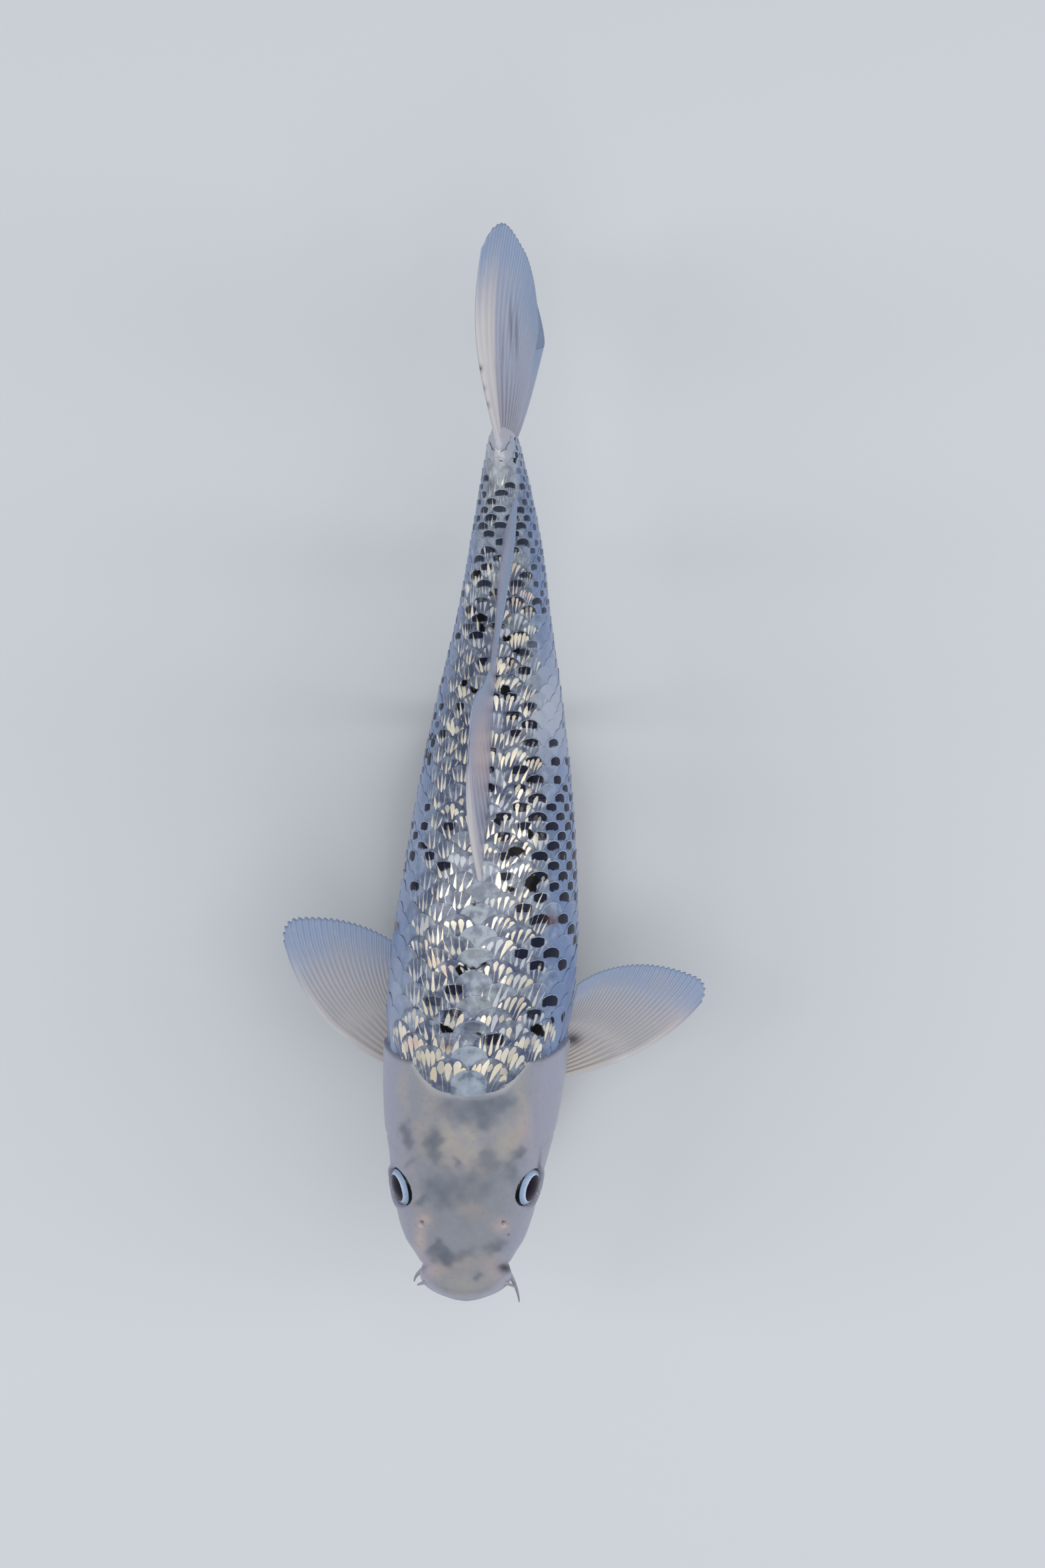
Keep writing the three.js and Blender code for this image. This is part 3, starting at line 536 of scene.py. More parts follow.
def head_relief(at, x, z, points):
    """Height of the head's own forms over the plain body surface, in mm. Nearly all are bells
    across a line or round a point, held to a part of the head by smooth steps."""
    side = np.abs(x)
    cleft = z - mouth_line(at)
    rise = 0.0
    for above, height, width, fading, gone in LIPS:
        rise = rise + height * bell(cleft - above, width) * (1 - ease(at, fading, gone))
    upper = ease(z, -14, -10) * (side < 24)
    groove = behind_lip(at, side)
    rise += (0.3 * bell(groove + 2.6, 2.0) - 0.2 * bell(groove, 1.6)) * upper
    mouth_fold = ease(side, 14, 19) * ease(z, -25, -19) * (1 - ease(z, 1, 8))
    rise -= 0.9 * bell(at - 18.5 + 0.12 * (z + 6), 1.3) * mouth_fold

    # the flap between the nostrils, and the nostrils
    over = ease(z, 4, 9)
    rise += 0.9 * bell(np.hypot((side - 21.2) / 1.35, at - 39.6), 1.7) * over
    dimples = (
        deep * bell(np.hypot(side - out, at - back), width) for out, back, width, deep in NOSTRILS
    )
    rise -= sum(dimples) * over

    # the eye's rim, thicker below, its crease, the socket and the soft ring round all
    out = from_eye(points)
    lid = mix(2.2, 0.5, ease(z, EYE["height"] - 6, EYE["height"] + 3))
    crease = 1.7 * bell(out - EYE_CREASE, 0.45)
    rise += lid * bell(out - EYE["radius"], 1.5) - crease - 1.4 * (1 - ease(out, 7.5, 9.6))
    rise += 0.5 * bell(out - 15, 3.5)

    # the gill covers' swollen rear edge and the groove behind it
    flank = ease(side / wide_at(at), 0.35, 0.6)
    behind = at - gill_edge(z)
    held = ease(z, *GILL_STEP_FROM) * (1 - ease(z, 38, 45)) * flank
    swollen = np.where(behind <= 0, 0.6 * np.exp(np.minimum(behind, 0) / 6), 0)
    rise += held * (swollen - 1.1 * bell(behind - 1.0, 0.9))
    rise -= shoulder_drop(at, x, z)

    sideways = ease(side, 14, 20)
    for line, deep, width in SUTURES:
        rise -= deep * bell(from_line(line, at, z), width) * sideways
    throat = (1 - ease(z, -34, -24)) * ease(at, 30, 42) * (1 - ease(at, 88, 100))
    rise -= 0.9 * bell(side - (2.5 + 0.17 * at), 1.2) * throat
    rise += 1.2 * bell(np.hypot(at - 113, z + 37), 9) * (side > 20)
    return rise


# ---------------------------------------------------------------- materials
def rgb(red, green, blue):
    """An sRGB colour of 0 to 255 as the linear values that Blender holds."""
    c = np.array([red, green, blue]) / 255
    return tuple(float(v) for v in np.where(c <= 0.04045, c / 12.92, ((c + 0.055) / 1.055) ** 2.4))


def colour(name):
    return (*getattr(bpy.context.scene.koi_colours, name), 1.0)


class Finish:
    """A new material with a Principled shader, and short ways to add the nodes feeding it.
    tone is its base colour so far."""

    def __init__(self, name, settings):
        self.material = bpy.data.materials.new(name)
        self.material.use_nodes = True
        self.nodes = self.material.node_tree.nodes
        self.links = self.material.node_tree.links
        self.shader = self.nodes["Principled BSDF"]
        self.tone = None
        for socket, value in settings.items():
            self.shader.inputs[socket].default_value = value

    def feed(self, socket, value):
        if isinstance(value, bpy.types.NodeSocket):
            self.links.new(value, socket)
        else:
            socket.default_value = value

    def node(self, kind, inputs=(), **settings):
        made = self.nodes.new(kind)
        for key, value in settings.items():
            setattr(made, key, value)
        for socket, value in dict(inputs).items():
            self.feed(made.inputs[socket], value)
        return made

    def math(self, operation, *values, clamp=False):
        made = self.node("ShaderNodeMath", operation=operation, use_clamp=clamp)
        for socket, value in zip(made.inputs, values):
            self.feed(socket, value)
        return made.outputs[0]

    def times(self, first, *others):
        for other in others:
            first = self.math("MULTIPLY", first, other)
        return first

    def plus(self, first, second):
        return self.math("ADD", first, second)

    def minus(self, first, second):
        return self.math("SUBTRACT", first, second)

    def line(self, value, slope, start, clamp=False):
        """slope times value, plus start."""
        return self.math("MULTIPLY_ADD", value, slope, start, clamp=clamp)

    def between(self, share, low, high):
        return self.plus(low, self.times(share, self.minus(high, low)))

    def ease(self, value, low, high):
        inputs = {"Value": value, "From Min": low, "From Max": high}
        return self.node("ShaderNodeMapRange", inputs, interpolation_type="SMOOTHSTEP").outputs["Result"]

    def mix(self, share, low, high):
        made = self.node("ShaderNodeMix", data_type="RGBA")
        for index, value in ((0, share), (6, low), (7, high)):
            self.feed(made.inputs[index], value)
        return made.outputs[2]

    def lay(self, share, hue):
        """Lays a colour over the tone. share is a socket or an attribute's name, and hue a
        socket or the name of a colour setting."""
        share = self.held(share) if isinstance(share, str) else share
        self.tone = self.mix(share, self.tone, colour(hue) if isinstance(hue, str) else hue)

    def held(self, name):
        return self.node("ShaderNodeAttribute", attribute_name=name).outputs["Fac"]

    def places(self, stretch=(1, 1, 1)):
        place = self.node("ShaderNodeTexCoord").outputs["Object"]
        return self.node("ShaderNodeMapping", {"Vector": place, "Scale": stretch}).outputs["Vector"]

    def across_along(self):
        """The two parts of the piece's own UV map."""
        place = self.node("ShaderNodeUVMap", uv_map="UVMap").outputs["UV"]
        parts = self.node("ShaderNodeSeparateXYZ", {"Vector": place}).outputs
        return parts["X"], parts["Y"]

    def noise(self, scale, detail=3.0, stretch=(1, 1, 1), roughness=0.5):
        inputs = {"Vector": self.places(stretch), "Scale": scale, "Detail": detail, "Roughness": roughness}
        return self.node("ShaderNodeTexNoise", inputs).outputs["Fac"]

    def chance(self, value):
        """A number from 0 to 1 that looks random and depends only on value."""
        return self.node("ShaderNodeTexWhiteNoise", {"W": value}, noise_dimensions="1D").outputs["Value"]

    def feed_shader(self, socket, value):
        self.feed(self.shader.inputs[socket], value)

    def done(self, rough=None, height=None, depth=0.0):
        """Feeds the tone to the shader, and roughness and bump where they are given, and gives
        the material. depth is the bump's own distance in metres."""
        self.feed_shader("Base Color", self.tone)
        if rough is not None:
            self.feed_shader("Roughness", rough)
        if height is not None:
            made = self.node("ShaderNodeBump", {"Height": height, "Distance": depth, "Strength": 1.0})
            self.feed_shader("Normal", made.outputs["Normal"])
        return self.material


def skin_finish():
    """Smooth head skin: warm cream grey under soft blue-grey clouds, cream and blush patches,
    a painted blue reflection towards the sides, painted shade in the folds and under the
    scales, and fine mottling."""
    f = Finish("carp_skin", {"Coat Weight": 0.3, "Coat Roughness": 0.2, "Specular IOR Level": 0.45})
    broad, middle, fine = f.noise(50, 4.0), f.noise(130, 3.0), f.noise(420, 3.0)
    f.tone = f.mix(f.ease(broad, 0.42, 0.75), colour("head_grey"), colour("head_warm"))
    # painted blue reflection towards the sides
    f.lay("blue", "cheek")
    f.lay("trunk", "shoulder")
    f.lay("belly", "belly_cream")
    f.lay("cream", "cream")
    f.lay("blush", "blush")
    uneven = f.plus(f.held("cloud"), f.line(f.noise(95, 5.0), 1.0, -0.5))
    f.lay(f.times(f.ease(uneven, -0.2, 1.1), f.ease(f.held("cloud"), 0.0, 0.5)), "cloud")
    f.lay(f.times(f.ease(fine, 0.5, 0.75), 0.15), "cloud")
    f.lay("lip", "lip_rim")
    # painted shade under the scales, then painted shade in the creases together with the black spots
    f.lay("under", "pocket")
    f.lay("ink", "ink")
    return f.done(f.line(broad, 0.2, 0.3), f.plus(fine, f.times(middle, 1.2)), 0.00012)


def scale_finish():
    """One scale, with x across it and y from its root to its free margin. A dark pocket may lie
    just inside the margin. In the glint bands it carries a crown of teeth painted as glints, with
    painted shade between them: each is one cell of a fan across the scale, broad at one end and
    tapering to a point at the other, and chance sets its place, length and shine."""
    f = Finish("carp_scales", {"Coat Roughness": 0.15})
    across, along = f.across_along()
    seed, glint_band, broad, streak, early = (
        f.held(key) for key in ("seed", "glitter", "broad", "streak", "early")
    )
    wide_noise, middle, fine = f.noise(38, 4.0), f.noise(190, 3.0), f.noise(420, 3.0, (1, 0.3, 1))
    f.tone = f.mix(f.ease(wide_noise, 0.3, 0.7), colour("back_grey"), colour("back_green"))
    # painted blue reflection on the flanks
    f.lay("blue", "flank_blue_reflection")
    f.lay("belly", "belly_cream")
    own_tone = f.chance(f.times(seed, 17.0))
    f.lay(f.times(f.ease(own_tone, 0.45, 0.0), streak), "net")
    f.lay(f.times(f.ease(own_tone, 0.55, 1.0), streak), "gap")
    f.lay(f.times(f.ease(middle, 0.5, 0.7), streak), "net")
    f.lay(f.times(f.ease(middle, 0.5, 0.3), streak, 1.3), "gap")
    f.lay("pale", "pale")

    # the dark pocket: soft towards the margin, crisp in front
    inside = f.minus(1.0, along)
    centred = f.math("DIVIDE", f.math("ABSOLUTE", f.minus(across, 0.5)), f.held("wide"))
    front = f.minus(f.plus(inside, f.times(centred, centred, 0.9)), f.line(middle, 0.22, 0.13))
    pocket = f.times(f.ease(inside, 0.01, 0.05), f.ease(front, 0.05, -0.04), f.ease(centred, 0.31, 0.2))
    inky = f.ease(f.times(pocket, f.held("ink")), 0.1, 0.65)
    f.lay(f.times(f.ease(inside, 0.05, 0.015), f.held("net")), "net")

    # the fan of teeth: which cell a place lies in, and how far it is from the cell's middle
    fan = f.math("DIVIDE", f.minus(across, 0.5), f.line(along, 0.5, 0.5))
    slanted = f.plus(fan, f.times(f.held("slant"), along))
    teeth = f.plus(f.times(slanted, f.line(seed, 2.2, 4.1)), f.times(seed, 13.0))
    cell = f.math("FLOOR", teeth)
    shine, place, size = (f.chance(f.plus(cell, f.times(seed, k))) for k in (91.0, 57.0, 33.0))
    aside = f.minus(f.math("FRACT", teeth), f.line(place, 0.3, 0.35))
    away = f.math("ABSOLUTE", f.plus(aside, f.times(f.minus(fine, 0.5), 0.2)))

    # each tooth's width from its start to its end, with a rounded end
    later = f.plus(along, early)
    run = f.between(f.held("turned"), along, f.minus(1.46, later))
    start, end = f.line(size, 0.34, 0.4), f.line(place, -0.14, 0.995)
    grown = f.math("DIVIDE", f.minus(run, start), f.minus(end, start), clamp=True)
    wide = f.times(f.math("POWER", grown, f.line(broad, -0.6, 1.1)), f.line(broad, 0.3, 0.34))
    thread = f.times(f.ease(size, 0.35, 0.6), 0.05)
    tooth = f.ease(f.minus(f.plus(wide, thread), away), -0.03, 0.05)
    round_end = f.ease(f.minus(f.minus(end, run), f.times(away, away, 0.4)), -0.006, 0.012)
    tooth = f.times(tooth, round_end, f.ease(later, 0.4, 0.46))

    # painted shade between the teeth, deeper towards the covered root, and painted glints on them: dull ones
    # pale, bright ones cream, gold or rosy
    shown = f.ease(f.minus(glint_band, f.times(shine, 0.9)), -0.06, 0.1)
    covered = f.math("ADD", f.ease(later, 0.62, 0.52), f.ease(middle, 0.62, 0.42), clamp=True)
    f.lay(f.times(glint_band, f.times(f.line(covered, 0.55, 0.35), f.line(early, -1.8, 1.0))), "gap")
    lit = f.ease(glint_band, 0.02, 0.3)
    f.lay(f.times(tooth, f.minus(1.0, shown), streak, lit, 1.7), "pale")
    f.lay(inky, "ink")
    gold = f.mix(shine, colour("glint_cream"), colour("glint_gold"))
    gold = f.mix(f.ease(wide_noise, 0.55, 0.75), gold, colour("glint_pink"))
    # the teeth painted as glints, which also get some metal and gloss
    bright = f.times(tooth, shown)
    f.lay(f.times(bright, f.line(size, -0.5, 1.05, clamp=True)), gold)
    f.feed_shader("Metallic", f.times(bright, 0.4))

    f.lay("rust", "rust")
    black = f.ease(f.plus(f.held("spot"), f.line(middle, 0.9, -0.45)), 0.36, 0.56)
    f.lay(black, "black")
    dull = f.minus(1.0, f.times(f.math("MAXIMUM", black, inky), 0.85))
    f.feed_shader("Coat Weight", f.times(dull, 0.35))
    f.feed_shader("Specular IOR Level", f.times(dull, 0.5))
    height = f.plus(f.times(tooth, lit, 0.5), f.times(fine, 0.5))
    return f.done(f.line(bright, -0.08, 0.36), height, 0.00015)


def fin_finish(name, rays, dark, hues):
    """A fin membrane, with x across the rays and y from root to edge: cosine ridges for the
    rays, twice and four times as many further out where they branch, dark between them near
    the root, a pale leading edge, and a colour that cools towards the edge."""
    f = Finish(name, {"Coat Weight": 0.2, "Coat Roughness": 0.2})
    root, half_way, tip = hues
    across, along = f.across_along()
    broad, fine = f.noise(45, 3.0), f.noise(260, 3.0)
    wavy_across = f.plus(across, f.times(f.minus(fine, 0.5), 0.006))
    angle = f.times(wavy_across, 2 * math.pi * rays)
    once, twice, often = (f.math("COSINE", f.times(angle, k)) for k in (1.0, 2.0, 4.0))
    branched = f.between(f.ease(along, *FIRST_BRANCH), once, twice)
    ridge = f.between(f.ease(along, *SECOND_BRANCH), branched, often)

    uneven = f.plus(along, f.line(broad, 0.4, -0.2))
    f.tone = f.mix(f.ease(uneven, 0.1, 0.6), colour(root), colour(half_way))
    f.lay(f.ease(uneven, 0.6, 1.0), tip)
    f.lay("lead", "fin_lead")
    f.lay(f.times(f.ease(ridge, 0.0, 1.0), 0.18), "fin_ray")
    near = f.times(f.ease(uneven, dark, 0.05), f.minus(1.0, f.held("lead")), 0.6)
    f.lay(f.times(f.ease(ridge, -0.1, -0.95), f.plus(near, 0.1)), "fin_dark")
    f.lay(f.times(f.ease(fine, 0.5, 0.8), 0.15), "fin_ray")
    f.lay("blush", "blush")
    f.lay("spot", "ink")
    return f.done(f.line(fine, 0.2, 0.32), f.plus(f.times(ridge, 0.5), fine), 0.0001)


def eye_finish():
    """Rings by distance from the pupil's middle: a wide dark pupil, a thin bright ring and a
    pale blue iris mottled with grey. A black rim follows the ball's edge, dark tissue and painted
    shade where the ball meets its socket, and a faint clear coat lies over all."""
    f = Finish("carp_eye", {
        "Roughness": 0.25, "Coat Weight": 0.06, "Coat Roughness": 0.04, "Specular IOR Level": 0.12,
    })
    wavy = f.plus(f.held("radius"), f.line(f.noise(600, 3.0), 0.5, -0.25))
    f.tone = f.mix(f.ease(wavy, 7.0, 9.4), colour("iris"), colour("iris_edge"))
    f.lay(f.times(f.ease(f.noise(900, 3.0), 0.5, 0.7), 0.3), "cloud")
    f.lay(f.ease(wavy, 7.4, 7.2), "iris_ring")
    f.lay(f.ease(wavy, 7.2, 6.9), "pupil")
    # black rim: dark tissue with painted shade where the ball meets its socket
    f.lay(f.ease(f.held("rim"), 9.2, 9.6), "black")
    return f.done()


def feeler_finish():
    """Feelers: the lips' warm grey, darker towards the tips, with fine mottling."""
    f = Finish("carp_feelers", {"Coat Weight": 0.3, "Coat Roughness": 0.2})
    fine = f.noise(700, 3.0)
    f.tone = f.mix(f.ease(fine, 0.35, 0.7), colour("cheek"), colour("head_warm"))
    f.lay(f.times(f.held("along"), 0.55), "cloud")
    return f.done(f.line(fine, 0.15, 0.35), fine, 0.0001)


def paint_finish():
    """Satin black paint: a faint orange-peel surface, with slightly lighter rubbed marks."""
    f = Finish("satin_black_paint", {"Coat Weight": 0.15, "Coat Roughness": 0.3})
    worn = f.noise(9, 5.0)
    f.tone = f.mix(f.times(f.ease(worn, 0.5, 0.8), 0.3), colour("base_paint"), colour("base_worn"))
    return f.done(f.line(worn, 0.2, 0.38), f.noise(900, 2.0), 0.00006)


def steel_finish():
    """Brushed steel: noise drawn out along the rod shifts its tone, gloss and height."""
    f = Finish("brushed_steel", {"Metallic": 1.0})
    grain = f.noise(700, 3.0, (1, 1, 0.02))
    f.tone = f.mix(grain, colour("steel"), colour("steel_dark"))
    return f.done(f.line(grain, 0.2, 0.22), grain, 0.00003)


# ---------------------------------------------------------------- skin
def skin_rows():
    """Distances back of the skin's rings: even steps of the outline's length, short over the
    head and longer behind it."""
    fine = np.concatenate([np.linspace(0, 2, 100)[:-1], np.linspace(2, BODY_LENGTH + TAIL_WEDGE, 2400)])
    here = np.minimum(fine, BODY_LENGTH)
    step = np.sqrt(np.diff(fine) ** 2 + np.diff(half_width(here)) ** 2 + np.diff(top(here)) ** 2)
    run = np.concatenate([[0], np.cumsum(step)])
    head_end = np.interp(SKIN_FINE_UNTIL, fine, run)
    head = np.arange(0, head_end, SKIN_STEP_HEAD)
    behind = np.arange(head_end, run[-1] - 1, SKIN_STEP_BODY)
    return np.interp(np.concatenate([head, behind, run[-1:]]), run, fine)


def surface_marks(at, x, z, points):
    """Shares of colour over the body, by the same rules for skin and scales."""
    left, back = plan(points)
    here = np.minimum(at, BODY_LENGTH)
    middle = widest_at(here)
    share = np.abs(x) / half_width(here)
    depth = (middle - z) / (middle - bottom(here))
    facing_up = ease(z - middle, 0, 6)
    return {
        # blue: a painted blue reflection that grows towards the sides and is weaker low down and on the front
        # of the head
        "blue": ease(share, 0.5, 0.92) * (1 - 0.8 * ease(depth, -0.1, 0.4)) * mix(0.75, 1, ease(at, 60, 130)),
        "belly": 0.85 * ease(depth, 0.0, 0.65),
        "spot": soft_spots(INK_SPOTS, left, back, 2) * facing_up,
        "rust": soft_spots(RUST_SPOTS, left, back, 2) * facing_up,
    }


def skin_marks(at, x, z, points):
    """Shares of colour over the skin. Clouds, cream and blush lie on the bare upper head. Ink holds
    the black spots and painted shade in the creases of the gill covers' edge, mouth, lip, mouth
    corners, nostrils and eyes, and a dark line along one fold beside the left eye. Under the
    scales the skin is darkened as painted shade, and the strip before the tail fin is pale again."""
    left, back = plan(points)
    facing_up = ease(z - widest_at(at), 0, 6)
    front = behind_scale_front(at, x, z)
    scaled = ease(front, -2.5, 3)
    side = np.abs(x)
    on_side = ease(z, -50, -40) * (1 - ease(z, 42, 48)) * ease(side, 18, 27)
    at_corner = ease(z, -24, -16)
    marks = surface_marks(at, x, z, points)
    # painted shade in the creases: the gill covers' edge, the mouth's cleft, the nostrils, the mouth's
    # corners, the crease round each eye and the groove behind the lip; with it the black spots and a dark
    # line along a fold beside the left eye
    ink = sum([
        marks["spot"] * scaled * 0.8,
        0.95 * bell(at - gill_edge(z) - 2.2, 2.5) * on_side,
        0.75 * bell(z - mouth_line(at), 0.6) * (1 - ease(at, 16, 20)),
        0.85 * bell(np.hypot(side - 21.1, at - 42.1), 0.9) * facing_up,
        0.7 * bell(np.hypot(x - 23.4, at - 35.6), 0.6) * facing_up,
        0.95 * (bell(np.hypot((at - 17.6) / 2.6, (x - 21.5) / 4.2), 1) * at_corner),
        0.35 * bell(np.hypot(at - 17.6, x + 22), 2.0) * at_corner,
        0.95 * bell(from_eye(points) - EYE_LINE, 0.45),
        0.75 * bell(x - 35.6 - 0.13 * (at - 65), 0.65) * bell((at - 68) / 9, 1) * (z > -4),
        0.07 * bell(behind_lip(at, side), 1.2) * ease(z, -14, -10) * (side < 24),
    ])
    lips = bell(at - 2.0 - 11.0 * (side / 22.5) ** 2.8, 1.8) * ease(z, -17, -12) * (side < 24)
    # the bare strip behind the gill covers at the sides; its shoulder colour carries the painted blue
    # reflection there
    trunk = ease(front, -1, 3) * ease(side, 26, 36)
    start = mix(2.5, 11, ease(side, 33, 40))
    tail_end = ease(at - scales_end(at, x), -6, 4)
    creamy = soft_spots(CREAM_PATCHES, *warped(left, back)) * facing_up * (1 - scaled) * 0.8
    return {
        "blue": marks["blue"] * (1 - trunk),
        "trunk": trunk,
        "belly": marks["belly"] * 0.8,
        "cloud": soft_spots(CLOUDS, *warped(left, back)) * facing_up * (1 - scaled),
        "cream": np.maximum(creamy, 0.15 * tail_end),
        "blush": soft_spots(BLUSH_PATCHES, left, back) * facing_up * (1 - scaled) * 0.7,
        "lip": np.maximum(lips * 0.4, 0.7 * tail_end),
        # painted shade: the skin under the scales is darkened, as it shows in the gaps between them
        "under": ease(front, start, start + 5) * (1 - tail_end) * (1 - marks["belly"]) * 0.8,
        "ink": np.clip(ink, 0, 1),
    }


def build_skin():
    """The whole body as one closed surface: the superellipse sections, set in by the depth of
    the coat, plus the head's relief, all along the surface normal."""
    sizes = bpy.context.scene.koi_sizes
    rings = skin_rows()
    upper, lower = (np.arange(count) / count for count in (SKIN_ABOVE, SKIN_BELOW))
    x, z, _ = body_grid(rings, np.concatenate([upper, 1 + upper, 2 + lower, 3 + lower]))
    at = np.broadcast_to(rings[:, None], x.shape)
    points = on_spine(at, x, z)
    covered = ease(behind_scale_front(at, x, z), -2.5, 3) * (1 - ease(at - scales_end(at, x), -1, 4))
    coat = mix(SKIN_INSET, sizes.scale_depth / MM + SKIN_INSET, covered)
    rise = head_relief(at, x, z, points) * sizes.relief - coat
    rise *= ease(wide_at(at), 0, 6)
    rise *= 1 - 0.6 * ease(at, BODY_LENGTH - 2, BODY_LENGTH + TAIL_WEDGE)
    moved = points + normals_of(points, wrap=True) * rise[..., None]
    everything, faces = closed_tube(moved, [moved[0].mean(0), moved[-1].mean(0)])
    values = {
        key: np.append(value.ravel(), [value[0].mean(), value[-1].mean()])
        for key, value in skin_marks(at, x, z, points).items()
    }
    add_piece("carp_skin", to_frame(everything), faces, skin_finish(), SKIN_NODES, values)


# ---------------------------------------------------------------- scales
def row_table():
    """Every scale as one line of numbers: distance back, place round the body, spacing of the
    rows there in u, its row and its side. Row j of k lies j/k of the way from the lateral line
    to the ridge, and k falls from front to rear, so that rows run out along the ridge of the
    back and of the belly. Odd rows are set half a pitch back."""
    steps = [NAPE["at"] - 8]
    while steps[-1] < SCALES_END + 12:
        steps.append(steps[-1] + float(scale_pitch(steps[-1])))
    index = np.arange(len(steps))
    lines = []
    for row in range(-ROWS_FRONT, ROWS_FRONT + 1):
        ridge = abs(row) == ROWS_FRONT
        at = np.interp(index + 0.5 * (row % 2), index, steps)
        k = mix(ROWS_FRONT, ROWS_REAR, ease(at, *ROWS_RUN_OUT))
        place = np.sign(row) * (np.ones_like(at) if ridge else abs(row) / k)
        spacing = 1 / k * (RIDGE_SPACING if ridge else 1)
        kept = ridge | (abs(row) < k - 0.7)
        for side in ((1,) if ridge else (1, -1)):
            u = place if side > 0 else 2 - place
            found = np.stack([at, u, spacing, np.full_like(at, row), np.full_like(at, side)], -1)
            lines.append(found[kept])
    return np.concatenate(lines)


class Surface:
    """A table of the body surface over distance back and place round it, read by bilinear
    interpolation: position, normal, local x and z, and arc length of the quarter."""

    def __init__(self):
        self.at = np.arange(SURFACE_START, BODY_LENGTH + TAIL_WEDGE + 1.0)
        self.columns = 4 * SURFACE_COLUMNS
        x, z, length = body_grid(self.at, np.arange(self.columns) / SURFACE_COLUMNS)
        points = on_spine(np.broadcast_to(self.at[:, None], x.shape), x, z)
        normal = normals_of(points, wrap=True)
        self.table = np.concatenate([points, normal, x[..., None], z[..., None]], -1)
        self.length = length

    def read(self, at, u):
        """Position, normal, local x and local z of places on the surface."""
        row = np.clip(at - self.at[0], 0, len(self.at) - 1.001)
        column = (u % 4) * SURFACE_COLUMNS
        i, j = np.floor(row).astype(int), np.floor(column).astype(int)
        fi, fj = (row - i)[..., None], (column - j)[..., None]
        after = (j + 1) % self.columns
        j = j % self.columns
        t = self.table
        found = mix(mix(t[i, j], t[i, after], fj), mix(t[i + 1, j], t[i + 1, after], fj), fi)
        return found[..., :3], found[..., 3:6], found[..., 6], found[..., 7]

    def arc(self, at, u):
        """Arc length of the quarter that a place lies in."""
        row = np.clip(np.round(at - self.at[0]).astype(int), 0, len(self.at) - 1)
        return self.length[row, np.floor(u % 4).astype(int) % 4]


def one_scale_faces():
    """Faces of one closed scale: a grid on top, a rim, and a plain underside. The points are
    the top grid, then the underside's left and right edges, then its rear edge."""
    rows, columns = len(SCALE_STEPS), SCALE_COLUMNS + 1
    quads = grid_quads(rows, columns).tolist()
    lefts = [rows * columns + k for k in range(rows - 1)]
    rights = [rows * columns + rows - 1 + k for k in range(rows - 1)]
    rear = [rows * columns + 2 * (rows - 1) + k for k in range(columns)]
    last = (rows - 1) * columns
    lefts_all, rights_all = lefts + [rear[0]], rights + [rear[-1]]
    for k in range(rows - 1):
        front, back = k * columns, (k + 1) * columns
        quads.append([front, back, lefts_all[k + 1], lefts_all[k]])
        quads.append([back + columns - 1, front + columns - 1, rights_all[k], rights_all[k + 1]])
    for k in range(columns - 1):
        quads.append([last + k, last + k + 1, rear[k + 1], rear[k]])
    for k in range(rows - 2):
        quads.append([lefts[k], lefts[k + 1], rights[k + 1], rights[k]])
    rear_face = [[lefts[-1], *rear, rights[-1]]]
    front_face = [[*range(columns), rights[0], lefts[0]]]
    return (quads, rear_face, front_face), rows * columns + 2 * (rows - 1) + columns


